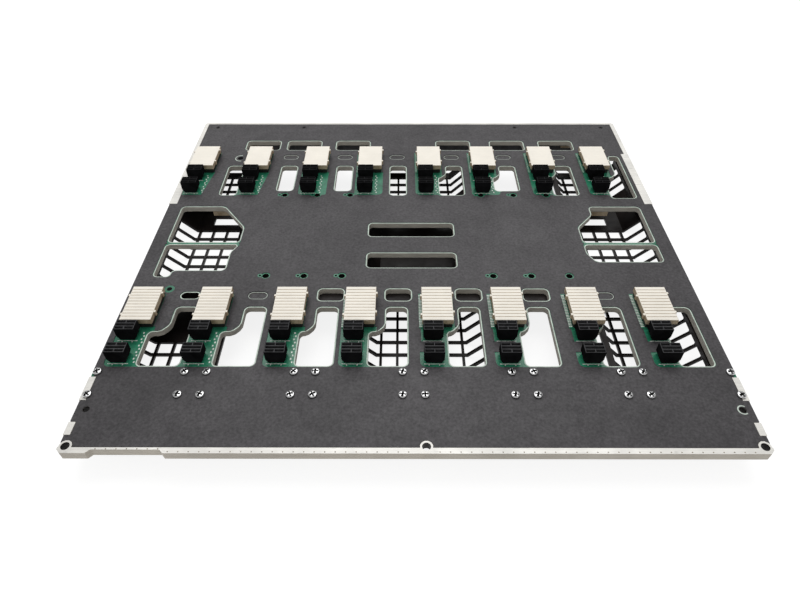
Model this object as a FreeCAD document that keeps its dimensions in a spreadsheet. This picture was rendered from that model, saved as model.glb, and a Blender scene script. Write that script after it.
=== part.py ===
import FreeCAD, Part
import math
import os
from FreeCAD import Vector

# Blade chassis midplane, lying on its back with the blade side up.
# Lengths are millimetres. Board positions run from the board's centre line (x)
# and from its near edge (y); heights run up from the plane that it lies on.
SIZES = {
    # circuit board outline
    "board_half_width": 212.0,
    "board_length": 382.0,
    "board_thickness": 4.6,
    "shoulder_y": 242.7,
    "waist_inset": 6.6,
    "waist_end_y": 325.0,
    "far_inset": 3.5,
    "side_notch_depth": 3.9,
    "low_notch_y": 8.0,
    "low_notch_length": 9.7,
    "high_notch_y": 33.5,
    "high_notch_length": 19.0,
    # insulating film
    "film_thickness": 0.4,
    "film_margin": 1.0,
    "film_patch_length": 5.6,
    "film_side_gap": 1.3,
    # carrier frame
    "frame_overhang": 0.7,
    "frame_floor": 1.25,
    "rim_near": 4.2,
    "rim_far": 3.6,
    "seat_clearance": 0.3,
    "window_margin": 1.5,
    "rim_recess_edge": 17.0,
    "rim_recess_length": 43.5,
    "rim_recess_depth": 2.4,
    "frame_corner_cut": 2.5,
    "frame_seat": 12.5,
    "rear_depth": 18.3,
    # mounting holes in the near rim
    "mount_hole_radius": 2.7,
    "mount_boss_radius": 3.9,
    "mount_hole_y": 0.5,
    "corner_hole_edge": 3.7,
    "centre_hole_x": 7.0,
    "edge_hole_radius": 2.2,
    "edge_hole_edge": 6.5,
    "edge_hole_y": 26.8,
    # blade bays: two rows of eight, set out by the right edge of each near opening
    "bay_first_edge": 55.1,
    "bay_last_edge": 10.5,
    "bay_skew": 2.1,
    "bay_row_pitch": 196.0,
    "opening_corner": 2.0,
    "near_bottom_y": 61.6,
    "near_top_y": 116.0,
    "near_neck_width": 15.2,
    "near_foot_top_y": 92.0,
    "left_foot_gap": 5.5,
    "middle_foot_gap": 3.5,
    "right_foot_gap": 0.6,
    "jog_width": 5.5,
    "jog_height": 6.5,
    "far_bottom_y": 256.3,
    "far_inner_bottom_y": 263.0,
    "far_last_bottom_y": 252.0,
    "far_top_y": 303.3,
    "far_last_top_y": 320.6,
    "far_neck_width": 14.6,
    "far_last_neck_width": 9.4,
    "far_foot_width": 22.0,
    "far_foot_top_y": 283.5,
    # openings at the sides and slots in the middle
    "side_edge": 12.6,
    "side_width": 58.5,
    "side_split_y": 188.8,
    "side_split_width": 3.4,
    "side_top_y": 238.5,
    "side_corner_y": 210.0,
    "left_corner_reach": 36.9,
    "right_corner_reach": 43.6,
    "right_step_y": 227.0,
    "left_low_y": 149.0,
    "left_low_step_reach": 12.4,
    "left_low_step_y": 156.2,
    "left_low_neck_reach": 53.6,
    "left_low_neck_y": 177.5,
    "right_low_y": 166.6,
    "right_low_corner_reach": 53.2,
    "right_low_corner_y": 176.5,
    "middle_slot_half_width": 35.3,
    "middle_slot_length": 17.4,
    "middle_slot_low_y": 159.5,
    "middle_slot_high_y": 198.0,
    # small slots beside the bays
    "wide_slot_width": 19.0,
    "wide_slot_length": 12.4,
    "wide_slot_offset": 6.5,
    "wide_slot_y": 129.2,
    "thin_slot_width": 13.6,
    "thin_slot_length": 6.6,
    "thin_slot_offset": 8.4,
    "near_thin_slot_y": 128.2,
    "far_thin_slot_y": 319.0,
    "top_slot_edge": 41.5,
    "top_slot_length": 17.0,
    "top_slot_width": 33.0,
    "top_slot_one_x": -145.0,
    "top_slot_two_x": -104.3,
    "top_slot_three_x": -56.0,
    "top_slot_four_x": 43.0,
    "top_slot_five_x": 96.5,
    "top_slot_six_x": 145.0,
    # blade connectors, on a pitch of their own
    "connector_first_edge": 17.6,
    "connector_last_edge": 37.5,
    "connector_skew": 4.3,
    "signal_width": 22.0,
    "signal_length": 33.4,
    "signal_height": 8.4,
    "signal_y": 112.7,
    "signal_foot_height": 1.5,
    "signal_foot_inset": 2.0,
    "power_width": 13.8,
    "power_length": 8.9,
    "power_height": 11.0,
    "power_shift": 3.6,
    "power_y": 68.8,
    "power_spacing": 20.3,
    "power_wall": 0.8,
    "power_rib": 0.9,
    "power_cavity_depth": 5.5,
    # power-supply connectors on the back and their screws
    "supply_edge": 32.0,
    "supply_y": 47.0,
    "supply_screw_half_span": 28.8,
    "supply_screw_spacing": 18.4,
    "supply_flange_width": 60.0,
    "supply_flange_length": 22.4,
    "supply_flange_thickness": 3.6,
    "supply_housing_width": 50.0,
    "supply_housing_length": 13.0,
    "supply_wall": 1.6,
    "supply_socket_depth": 11.0,
    "supply_blade_count": 4,
    "supply_blade_width": 8.0,
    "screw_head_radius": 2.8,
    "screw_head_height": 1.7,
    "screw_clearance": 0.2,
    # module connectors on the back, with their guide pins
    "module_outer_gap": 21.0,
    "module_left_end_x": 54.1,
    "module_right_x": 62.8,
    "guide_near_y": 150.0,
    "guide_far_y": 256.5,
    "guide_hole_radius": 2.5,
    "guide_pin_radius": 2.4,
    "guide_collar_radius": 4.0,
    "guide_collar_height": 3.0,
    "guide_pin_length": 11.0,
    "module_width": 12.0,
    "module_length": 86.0,
    "module_height": 13.0,
    "module_wall": 1.4,
    "module_socket_depth": 2.0,
    "module_bar": 3.0,
    "module_fields": 4,
    # fan inlet grilles
    "grille_side_edge": 42.4,
    "grille_side_half_width": 33.4,
    "grille_middle_x": 7.0,
    "grille_middle_half_width": 45.5,
    "grille_wall": 2.0,
    "grille_lip": 2.5,
    "grille_bend": 12.0,
    "grille_near_y": 60.0,
    "grille_length": 266.0,
    "grille_pitch": 12.0,
    "grille_bar": 1.9,
    "grille_first_row_y": 66.3,
    # fan connectors on the back
    "fan_plug_width": 20.0,
    "fan_plug_length": 7.0,
    "fan_plug_height": 8.5,
    "fan_plug_wall": 1.1,
    "fan_plug_depth": 3.0,
    "fan_plug_side_edge": 46.0,
    "fan_plug_near_y": 146.0,
    "fan_plug_mid_y": 247.0,
    "fan_plug_far_edge": 20.0,
    # flat screws at the far edge
    "frame_screw_outer_edge": 14.0,
    "frame_screw_inner_x": 109.0,
    "frame_screw_edge": 6.5,
    "frame_screw_head_radius": 2.0,
    "frame_screw_radius": 1.25,
    # seal bar along the far edge on the back
    "seal_end_gap": 18.0,
    "seal_edge": 2.0,
    "seal_width": 12.0,
    "seal_cut": 3.0,
}

# Sizes that follow from those above.
DERIVED = {
    "frame_half_width": "board_half_width + frame_overhang",
    "bay_first_x": "bay_first_edge - board_half_width",
    "bay_pair_pitch": "(2 * board_half_width - bay_first_edge - bay_last_edge + bay_skew / 2) / 3.5",
    "bay_inner_pitch": "(bay_pair_pitch - bay_skew) / 2",
    "connector_first_x": "connector_first_edge - board_half_width",
    "connector_pair_pitch":
        "(2 * board_half_width - connector_first_edge - connector_last_edge + connector_skew / 2) / 3.5",
    "connector_inner_pitch": "(connector_pair_pitch - connector_skew) / 2",
    "side_outer_x": "board_half_width - side_edge",
    "side_inner_x": "side_outer_x - side_width",
    "corner_hole_x": "board_half_width - corner_hole_edge",
    "edge_hole_x": "board_half_width - edge_hole_edge",
    "supply_pitch": "(board_half_width - supply_edge) / 2.5",
    "grille_side_x": "board_half_width - grille_side_edge",
    "grille_inner_x": "grille_side_x - grille_side_half_width - grille_lip",
    "module_left_x": "module_outer_gap - grille_inner_x",
    "module_pitch": "-(module_left_x + module_left_end_x) / 2",
    "fan_plug_side_x": "board_half_width - fan_plug_side_edge",
    "frame_screw_outer_x": "board_half_width - frame_screw_outer_edge",
    "seal_half_length": "board_half_width - seal_end_gap",
}

# Far openings whose lower part is wider than the neck, and those that start further from the near edge.
BAYS = 8
LEFT_BAYS = (0, 1, 2)
RIGHT_BAYS = (6, 7)
FOOTED_FAR_BAYS = (4, 5, 6, 7)
SHORT_FAR_BAYS = (1, 2, 5)
LAST_BAY = BAYS - 1
WIDE_SLOT_BAYS = (2, 3, 4, 5)
NEAR_THIN_SLOT_BAYS = (0, 1, 6)
FAR_THIN_SLOT_BAYS = (1, 2, 3, 4, 5, 6)
# Sides of small repeated holes, pins and screws, and the share of an edge that one cut corner may take.
SHANK_SIDES = 6
PIN_SIDES = 8
HEAD_SIDES = 12
CORNER_SHARE = 0.35
# Rows of grille cells behind the near, side and far openings, counted from the first row.
LEFT_NEAR_CELL_ROWS = (0, 1, 2)
NEAR_CELL_ROWS = (0, 1, 2, 3, 4, 5)
MIDDLE_CELL_ROWS = (8, 9, 10, 11, 12, 13)
FAR_CELL_ROWS = (18, 19, 20)

doc = FreeCAD.newDocument("midplane")
sheet = doc.addObject("Spreadsheet::Sheet", "Sizes")
entries = list(SIZES.items()) + [(alias, f"={formula}") for alias, formula in DERIVED.items()]
for row, (alias, value) in enumerate(entries, start=1):
    sheet.set(f"A{row}", alias)
    sheet.set(f"B{row}", str(value))
    sheet.setAlias(f"B{row}", alias)
doc.recompute()

NODES = []


def size(alias):
    """The value of one driving size."""
    return float(sheet.get(alias))


def cell(alias):
    """The name of one driving size, for use in an expression."""
    return f"Sizes.{alias}"


# Levels of the stack, as expressions and as numbers.
FRAME_BACK = cell("rear_depth")
BOARD_BACK = f"{FRAME_BACK} + {cell('frame_floor')}"
BOARD_TOP = f"{BOARD_BACK} + {cell('board_thickness')}"
FILM_TOP = f"{BOARD_TOP} + {cell('film_thickness')}"
NEAR_EDGE = f"({cell('rim_near')} - {cell('board_length')} - {cell('rim_far')}) / 2"
near_edge = (size("rim_near") - size("board_length") - size("rim_far")) / 2


def bind(item, expressions):
    """Tie properties of an object to the sheet."""
    for path, expression in expressions.items():
        item.setExpression(path, str(expression))
    return item


def place(item, x, y, z):
    """Tie an object's place to the sheet: x and y on the board, z above the rest plane."""
    return bind(item, {
        ".Placement.Base.x": x,
        ".Placement.Base.y": f"{NEAR_EDGE} + {y}",
        ".Placement.Base.z": z,
    })


def node(item, label):
    """Name a finished sub-part."""
    item.Label = label
    NODES.append(item)
    return item


def bay_x(bay):
    """Right edge of a bay's openings."""
    pair, second = divmod(bay, 2)
    return size("bay_first_x") + pair * size("bay_pair_pitch") + second * size("bay_inner_pitch")


def connector_expression(bay):
    """Centre line of a bay's signal connector, as an expression."""
    pair, second = divmod(bay, 2)
    pairs = f"{pair} * {cell('connector_pair_pitch')}"
    return f"{cell('connector_first_x')} + {pairs} + {second} * {cell('connector_inner_pitch')}"


def connector_x(bay):
    """The same centre line as a number."""
    pair, second = divmod(bay, 2)
    step = pair * size("connector_pair_pitch") + second * size("connector_inner_pitch")
    return size("connector_first_x") + step


def power_span(bay):
    """Left and right edge of a bay's power connectors."""
    centre, half = connector_x(bay) - size("power_shift"), size("power_width") / 2
    return centre - half, centre + half


def outline_face(points, corner=0.0, grow=0.0):
    """Flat face inside the corner points, with cut corners, grown outwards by a margin."""
    corners = [Vector(x, y + near_edge, 0) for x, y in points]
    outline = []
    for index, point in enumerate(corners):
        for neighbour in (corners[index - 1], corners[(index + 1) % len(corners)]):
            side = neighbour - point
            reach = min(corner, CORNER_SHARE * side.Length)
            outline.append(point + side.normalize() * reach)
    if not corner:
        outline = corners
    wire = Part.makePolygon(outline + outline[:1])
    if grow:
        wire = wire.makeOffset2D(grow, join=2)
    return Part.Face(wire)


def rectangle(x, y, width, length):
    """Corners of a rectangle about its centre."""
    left, right = x - width / 2, x + width / 2
    low, high = y - length / 2, y + length / 2
    return [(left, low), (right, low), (right, high), (left, high)]


def bounds(points):
    """Corners of the smallest upright rectangle round some points."""
    xs, ys = zip(*points)
    return [(min(xs), min(ys)), (max(xs), min(ys)), (max(xs), max(ys)), (min(xs), max(ys))]


def round_face(x, y, radius):
    """Flat disc."""
    circle = Part.makeCircle(radius, Vector(x, y + near_edge, 0))
    return Part.Face(Part.Wire(circle))


def hole_face(x, y, radius, sides):
    """Flat regular polygon that just clears a disc of the radius."""
    reach = radius / math.cos(math.pi / sides)
    turns = [2 * math.pi * (step + 0.5) / sides for step in range(sides)]
    return outline_face([(x + reach * math.cos(turn), y + reach * math.sin(turn)) for turn in turns])


def boot(right, bottom, top, neck, foot, foot_top):
    """Corners of an air opening with a wide foot, a slanted jog and a narrow neck."""
    jog_right = right - neck
    return [
        (right, bottom),
        (right, top),
        (jog_right, top),
        (jog_right, foot_top + size("jog_height")),
        (jog_right - size("jog_width"), foot_top),
        (right - foot, foot_top),
        (right - foot, bottom),
    ]


def near_opening(bay):
    """Corners of one near-row air opening."""
    part = "left" if bay in LEFT_BAYS else "right" if bay in RIGHT_BAYS else "middle"
    foot = bay_x(bay) - power_span(bay)[1] - size(f"{part}_foot_gap")
    return boot(bay_x(bay), size("near_bottom_y"), size("near_top_y"), size("near_neck_width"),
                foot, size("near_foot_top_y"))


def far_opening(bay):
    """Corners of one far-row air opening: footed at the right, plain at the left."""
    right = bay_x(bay)
    bottom = size("far_inner_bottom_y") if bay in SHORT_FAR_BAYS else size("far_bottom_y")
    top = size("far_top_y")
    neck = size("far_neck_width")
    if bay == LAST_BAY:
        bottom = size("far_last_bottom_y")
        top = size("far_last_top_y")
        neck = size("far_last_neck_width")
    if bay in FOOTED_FAR_BAYS:
        return boot(right, bottom, top, neck, size("far_foot_width"), size("far_foot_top_y"))
    return rectangle(right - neck / 2, (bottom + top) / 2, neck, top - bottom)


def side_openings():
    """Corners of the four large openings, two at each side of the board."""
    outer, inner = size("side_outer_x"), size("side_inner_x")
    high = size("side_split_y") + size("side_split_width") / 2
    low = size("side_split_y") - size("side_split_width") / 2
    top = size("side_top_y")
    left_upper = [
        (-outer, high), (-inner, high), (-inner, size("side_corner_y")),
        (size("left_corner_reach") - outer, top), (-outer, top),
    ]
    right_upper = [
        (inner, high), (outer, high), (outer, top), (outer - size("right_corner_reach"), top),
        (outer - size("right_corner_reach"), size("right_step_y")), (inner, size("side_corner_y")),
    ]
    step, neck = size("left_low_step_reach"), size("left_low_neck_reach")
    left_lower = [
        (-outer, low), (-outer, size("left_low_y")), (step - outer, size("left_low_y")),
        (step - outer, size("left_low_step_y")), (neck - outer, size("left_low_step_y")),
        (neck - outer, size("left_low_neck_y")), (-inner, low),
    ]
    right_lower = [
        (inner, low), (inner, size("right_low_corner_y")),
        (outer - size("right_low_corner_reach"), size("right_low_y")), (outer, size("right_low_y")),
        (outer, low),
    ]
    return [left_upper, right_upper, left_lower, right_lower]


def middle_slots():
    """Corners of the two wide slots in the middle."""
    width, length = 2 * size("middle_slot_half_width"), size("middle_slot_length")
    lows = (size("middle_slot_low_y"), size("middle_slot_high_y"))
    return [rectangle(0, low + length / 2, width, length) for low in lows]


def small_slots():
    """Corners of the round-ended slots beside the bays, which the backing sheet closes from behind."""
    slots = []
    for bay in WIDE_SLOT_BAYS:
        x = bay_x(bay) - size("wide_slot_offset")
        slots.append(rectangle(x, size("wide_slot_y"), size("wide_slot_width"), size("wide_slot_length")))
    thin = [(bay, size("near_thin_slot_y")) for bay in NEAR_THIN_SLOT_BAYS]
    thin += [(bay, size("far_thin_slot_y")) for bay in FAR_THIN_SLOT_BAYS]
    for bay, y in thin:
        x = bay_x(bay) - size("thin_slot_offset")
        slots.append(rectangle(x, y, size("thin_slot_width"), size("thin_slot_length")))
    return slots


def edge_slots():
    """Corners of the slots along the far edge."""
    slots = []
    for name in ("one", "two", "three", "four", "five", "six"):
        x = size(f"top_slot_{name}_x")
        y = size("board_length") - size("top_slot_edge")
        slots.append(rectangle(x, y, size("top_slot_width"), size("top_slot_length")))
    return slots


BAY_OPENINGS = [near_opening(bay) for bay in range(BAYS)] + [far_opening(bay) for bay in range(BAYS)]
AIR_OPENINGS = BAY_OPENINGS + side_openings() + middle_slots() + small_slots() + edge_slots()


def supply_xs():
    """Centres of the six power-supply connectors."""
    return [(unit - 2.5) * size("supply_pitch") for unit in range(6)]


def module_xs():
    """Centre lines of the six module connectors."""
    starts = (size("module_left_x"), size("module_right_x"))
    return [start + step * size("module_pitch") for start in starts for step in range(3)]


def guide_points():
    """Places of the guide pins."""
    rows = (size("guide_near_y"), size("guide_far_y"))
    return [(x, y) for y in rows for x in module_xs()]


def frame_screw_points():
    """Places of the flat screws at the far edge."""
    xs = (size("frame_screw_outer_x"), size("frame_screw_inner_x"))
    y = size("board_length") - size("frame_screw_edge")
    return [(side * x, y) for x in xs for side in (-1, 1)]


def mount_points():
    """Centres of the mounting holes in the near rim."""
    xs = (-size("corner_hole_x"), size("centre_hole_x"), size("corner_hole_x"))
    return [(x, size("mount_hole_y")) for x in xs]


def grille_spans():
    """Centre line and half width of the left, middle and right grille."""
    side, half = size("grille_side_x"), size("grille_side_half_width")
    return [(-side, half), (size("grille_middle_x"), size("grille_middle_half_width")), (side, half)]


def board_corners(inset=0.0):
    """Corners of the board's outline, moved inwards by a margin (outwards where it is negative)."""
    wide = size("board_half_width") - inset
    waist = wide - size("waist_inset")
    far = wide - size("far_inset")
    right = [
        (wide, inset), (wide, size("shoulder_y") - inset), (waist, size("shoulder_y") - inset),
        (waist, size("waist_end_y") + inset), (far, size("waist_end_y") + inset),
        (far, size("board_length") - inset),
    ]
    return right + [(-x, y) for x, y in reversed(right)]


def notch_faces(inset=0.0):
    """Side notches of the board that the frame's tabs fill, made smaller by a margin."""
    inner = size("board_half_width") - size("side_notch_depth") + inset
    outer = size("frame_half_width")
    faces = []
    for name in ("low", "high"):
        start = size(f"{name}_notch_y") + inset
        length = size(f"{name}_notch_length") - 2 * inset
        for side in (-1, 1):
            centre = side * (inner + outer) / 2
            faces.append(outline_face(rectangle(centre, start + length / 2, outer - inner, length)))
    return faces


def edge_holes():
    """Two plain holes near the side edges, through the film, the board and the frame."""
    x, y, radius = size("edge_hole_x"), size("edge_hole_y"), size("edge_hole_radius")
    return [hole_face(side * x, y, radius, HEAD_SIDES) for side in (-1, 1)]


def boss_faces(clearance=0.0):
    """Bosses of the mounting holes, grown by a clearance."""
    radius = size("mount_boss_radius") + clearance
    return [hole_face(x, y, radius, HEAD_SIDES) for x, y in mount_points()]


def plate(name, face, thickness, z):
    """Flat plate of a face, with its thickness and level tied to the sheet."""
    base = doc.addObject("Part::Feature", f"{name}_face")
    base.Shape = face
    item = doc.addObject("Part::Extrusion", name)
    item.Base = base
    item.DirMode = "Custom"
    item.Dir = Vector(0, 0, 1)
    item.Solid = True
    return bind(item, {"LengthFwd": thickness, ".Placement.Base.z": z})


def make_board():
    """Circuit board: outline, notches, air openings, slots and drilled holes."""
    corner = size("opening_corner")
    cuts = [outline_face(points, corner) for points in AIR_OPENINGS]
    cuts += notch_faces() + edge_holes() + boss_faces(size("seat_clearance"))
    cuts += [hole_face(x, y, size("guide_hole_radius"), PIN_SIDES) for x, y in guide_points()]
    screw_hole = size("frame_screw_radius") + size("screw_clearance")
    cuts += [hole_face(x, y, screw_hole, SHANK_SIDES) for x, y in frame_screw_points()]
    face = outline_face(board_corners()).cut(cuts)
    return node(plate("midplane_board", face, cell("board_thickness"), BOARD_BACK), "midplane_board")


def bay_windows(bay, shift):
    """Film windows that bare the board round one bay's connectors."""
    gap = size("film_side_gap")
    signal = rectangle(connector_x(bay), size("signal_y") + shift,
                       size("signal_width") + 2 * gap, size("signal_length") + 2 * gap)
    left = power_span(bay)[0] - 2 * gap
    edge = connector_x(bay) + size("signal_width") / 2 + gap
    if shift:
        edge = max(edge, bay_x(bay) - size("far_foot_width"))
    low = size("near_bottom_y") - size("film_margin") + shift
    high = size("signal_y") - size("signal_length") / 2 + shift
    power = rectangle((left + edge) / 2, (low + high) / 2, edge - left, high - low)
    return [outline_face(signal), outline_face(power)]


def make_film():
    """Insulating film: set back round every opening, with windows round the connectors."""
    openings = [outline_face(points, 0.0, size("film_margin")) for points in AIR_OPENINGS]
    windows = []
    for bay in range(BAYS):
        for shift in (0.0, size("bay_row_pitch")):
            windows += bay_windows(bay, shift)
    split = rectangle(0, size("side_split_y"), 2 * size("side_outer_x"), size("side_split_width"))
    middle = rectangle(0, size("side_split_y"), 2 * size("side_inner_x"), size("side_split_width"))
    strip = outline_face(split).cut(outline_face(middle))
    patch_y = size("high_notch_y") + size("high_notch_length") + size("film_patch_length") / 2
    patches = []
    for side in (-1, 1):
        x = side * (size("board_half_width") - size("side_notch_depth") / 4)
        patches.append(outline_face(rectangle(x, patch_y, size("side_notch_depth") / 2,
                                              size("film_patch_length"))))
    holes = notch_faces() + edge_holes() + boss_faces(size("seat_clearance"))
    guide = size("guide_hole_radius") + size("film_margin")
    holes += [hole_face(x, y, guide, PIN_SIDES) for x, y in guide_points()]
    head = size("frame_screw_head_radius") + size("screw_clearance")
    holes += [hole_face(x, y, head, PIN_SIDES) for x, y in frame_screw_points()]
    face = outline_face(board_corners()).cut([strip] + windows + openings + patches + holes)
    return node(plate("front_insulator", face, cell("film_thickness"), BOARD_TOP), "front_insulator")


def frame_outline():
    """Outline of the carrier frame, with cut corners and the shallow recess in the near rim."""
    half = size("frame_half_width")
    low = -size("rim_near")
    high = size("board_length") + size("rim_far")
    cut = size("frame_corner_cut")
    start = size("rim_recess_edge") - size("board_half_width")
    end = start + size("rim_recess_length")
    depth = size("rim_recess_depth")
    return outline_face([
        (-half, low + cut), (-half + cut, low), (start, low), (start + depth, low + depth),
        (end, low + depth), (end + depth, low), (half - cut, low), (half, low + cut),
        (half, high - cut), (half - cut, high), (cut - half, high), (-half, high - cut),
    ])


def sheet_windows():
    """Windows of the sheet and the frame: round the openings and what stands on the board's back."""
    clearance = size("seat_clearance")
    left_upper, right_upper, left_lower, right_lower = side_openings()
    sides = [left_upper + left_lower, right_upper + right_lower]
    groups = BAY_OPENINGS + sides + middle_slots() + edge_slots()
    windows = [outline_face(bounds(points), 0.0, size("window_margin")) for points in groups]
    for x in supply_xs():
        windows.append(outline_face(rectangle(x, size("supply_y"), size("supply_flange_width") + 2 * clearance,
                                              size("supply_flange_length") + 2 * clearance)))
    guides = (size("guide_near_y") + size("guide_far_y")) / 2
    reach = size("guide_far_y") - size("guide_near_y") + 2 * (size("guide_collar_radius") + clearance)
    for x in module_xs():
        width = max(size("module_width"), 2 * size("guide_collar_radius")) + 2 * clearance
        windows.append(outline_face(rectangle(x, guides, width, reach)))
    for x, y in fan_plug_points():
        windows.append(outline_face(rectangle(x, y, size("fan_plug_width") + 2 * clearance,
                                              size("fan_plug_length") + 2 * clearance)))
    return windows


def make_backing_sheet():
    """Thin sheet against the board's back, inside the frame."""
    face = outline_face(board_corners(size("frame_seat") + size("seat_clearance"))).cut(sheet_windows())
    return node(plate("backing_sheet", face, cell("frame_floor"), FRAME_BACK), "backing_sheet")


def make_frame():
    """Carrier frame: seat under the board's edge, rim, tabs in the board's notches and mounting bosses."""
    clearance = size("seat_clearance")
    outline = frame_outline()
    seat = outline.cut([outline_face(board_corners(size("frame_seat")))] + sheet_windows())
    pocket = outline_face(board_corners(-clearance))
    overhang = size("frame_overhang")
    low_side = (size("shoulder_y") + clearance) / 2
    for side in (-1, 1):
        x = side * (size("board_half_width") + overhang / 2)
        pocket = pocket.fuse(outline_face(rectangle(x, low_side, 2 * overhang, 2 * low_side)))
    rim_height = f"{cell('board_thickness')} + {cell('film_thickness')}"
    pieces = [plate("frame_seat", seat, cell("frame_floor"), FRAME_BACK)]
    raised = [outline.cut(pocket)] + boss_faces() + notch_faces(clearance)
    for number, face in enumerate(raised):
        pieces.append(plate(f"frame_raised_{number}", face, rim_height, BOARD_BACK))
    blank = doc.addObject("Part::MultiFuse", "frame_blank")
    blank.Shapes = pieces
    blank.Refine = True
    holes = edge_holes() + [round_face(x, y, size("mount_hole_radius")) for x, y in mount_points()]
    holes += [hole_face(x, y, size("frame_screw_radius"), SHANK_SIDES) for x, y in frame_screw_points()]
    depth = f"{cell('frame_floor')} + {rim_height}"
    drills = plate("frame_drills", Part.makeCompound(holes), depth, FRAME_BACK)
    frame = doc.addObject("Part::Cut", "carrier_frame")
    frame.Base = blank
    frame.Tool = drills
    frame.Refine = True
    return node(frame, "carrier_frame")


def make_seal_bar():
    """Seal bar along the far edge on the back, with its lower edges cut."""
    width, cut, depth = size("seal_width"), size("seal_cut"), size("rear_depth")
    section = [(0, depth), (0, cut), (cut, 0), (width - cut, 0), (width, cut), (width, depth)]
    corners = [Vector(0, y, z) for y, z in section]
    base = doc.addObject("Part::Feature", "seal_section")
    base.Shape = Part.Face(Part.makePolygon(corners + corners[:1]))
    bar = doc.addObject("Part::Extrusion", "rear_seal_bar")
    bar.Base = base
    bar.DirMode = "Custom"
    bar.Dir = Vector(1, 0, 0)
    bar.Solid = True
    bind(bar, {"LengthFwd": f"2 * {cell('seal_half_length')}"})
    place(bar, f"-{cell('seal_half_length')}",
          f"{cell('board_length')} - {cell('seal_edge')} - {cell('seal_width')}", 0)
    return node(bar, "rear_seal_bar")


def box_feature(body, kind, name, size_cells, corner):
    """Box added to or cut from a body, with sizes and low corner given as expressions."""
    item = body.newObject(f"PartDesign::{kind}Box", name)
    keys = ("Length", "Width", "Height")
    bind(item, dict(zip(keys, size_cells)))
    axes = (".Placement.Base.x", ".Placement.Base.y", ".Placement.Base.z")
    return bind(item, dict(zip(axes, corner)))


def copy_at(source, name, x, y, z):
    """Copy of finished shapes at a place on the board."""
    item = doc.addObject("Part::Compound", name)
    item.Links = source if isinstance(source, list) else [source]
    return place(item, x, y, z)


def signal_block():
    """Signal connector, set back under both ends where its feet stand on the board."""
    width, length, height = cell("signal_width"), cell("signal_length"), cell("signal_height")
    body = doc.addObject("PartDesign::Body", "signal_block")
    box_feature(body, "Additive", "housing", (width, length, height), (f"-{width} / 2", f"-{length} / 2", 0))
    inset = cell("signal_foot_inset")
    for number, end in enumerate((-1, 1)):
        y = f"-{length} / 2" if end < 0 else f"{length} / 2 - {inset}"
        recess = (f"{width} - 2 * {inset}", inset, cell("signal_foot_height"))
        box_feature(body, "Subtractive", f"under_{number}", recess, (f"{inset} - {width} / 2", y, 0))
    return body


def power_block():
    """Power connector with two rows of contact cavities in its top."""
    width, length, height = cell("power_width"), cell("power_length"), cell("power_height")
    body = doc.addObject("PartDesign::Body", "power_block")
    box_feature(body, "Additive", "shell", (width, length, height), (f"-{width} / 2", f"-{length} / 2", 0))
    wall, rib, depth = cell("power_wall"), cell("power_rib"), cell("power_cavity_depth")
    cavity = (f"{width} - 2 * {wall}", f"({length} - 2 * {wall} - {rib}) / 2", depth)
    for number in range(2):
        y = f"{wall} - {length} / 2 + {number} * ({cavity[1]} + {rib})"
        box_feature(body, "Subtractive", f"cavity_{number}", cavity,
                    (f"{wall} - {width} / 2", y, f"{height} - {depth}"))
    return body


def make_blade_connectors():
    """Signal connector and pair of power connectors of every blade bay."""
    signal = signal_block()
    lower = power_block()
    upper = doc.addObject("Part::Compound", "upper_power_block")
    upper.Links = [lower]
    bind(upper, {".Placement.Base.y": cell("power_spacing")})
    for line in range(2):
        for bay in range(BAYS):
            number = line * BAYS + bay + 1
            centre = connector_expression(bay)
            row = f"{line} * {cell('bay_row_pitch')}"
            block = copy_at(signal, f"signal_{number:02d}", centre,
                            f"{cell('signal_y')} + {row}", BOARD_TOP)
            node(block, f"front_signal_connector_{number:02d}")
            pair = copy_at([lower, upper], f"power_{number:02d}", f"{centre} - {cell('power_shift')}",
                           f"{cell('power_y')} + {row}", BOARD_TOP)
            node(pair, f"front_power_connectors_{number:02d}")


def prism_feature(body, kind, name, sides, radius, height, corner):
    """Upright many-sided prism added to or cut from a body."""
    item = body.newObject(f"PartDesign::{kind}Prism", name)
    item.Polygon = sides
    bind(item, {"Circumradius": radius, "Height": height})
    axes = (".Placement.Base.x", ".Placement.Base.y", ".Placement.Base.z")
    return bind(item, dict(zip(axes, corner)))


def supply_connector():
    """Power-supply connector: flange on the board, and a socket with contact blades."""
    flange = (cell("supply_flange_width"), cell("supply_flange_length"), cell("supply_flange_thickness"))
    width, length = cell("supply_housing_width"), cell("supply_housing_length")
    wall, depth = cell("supply_wall"), cell("supply_socket_depth")
    body = doc.addObject("PartDesign::Body", "supply_connector")
    box_feature(body, "Additive", "housing_block", (width, length, BOARD_BACK),
                (f"-{width} / 2", f"-{length} / 2", 0))
    box_feature(body, "Additive", "flange", flange,
                (f"-{flange[0]} / 2", f"-{flange[1]} / 2", f"{BOARD_BACK} - {flange[2]}"))
    socket = (f"{width} - 2 * {wall}", f"{length} - 2 * {wall}", depth)
    box_feature(body, "Subtractive", "socket", socket, (f"{wall} - {width} / 2", f"{wall} - {length} / 2", 0))
    blades = int(size("supply_blade_count"))
    blade_size = (cell("supply_blade_width"), f"{length} - 4 * {wall}", f"{depth} - {wall}")
    for number in range(blades):
        x = f"({number} - {(blades - 1) / 2}) * ({width} - 2 * {wall}) / {blades}"
        box_feature(body, "Additive", f"blade_{number}", blade_size,
                    (f"{x} - {blade_size[0]} / 2", f"2 * {wall} - {length} / 2", wall))
    return body


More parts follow.
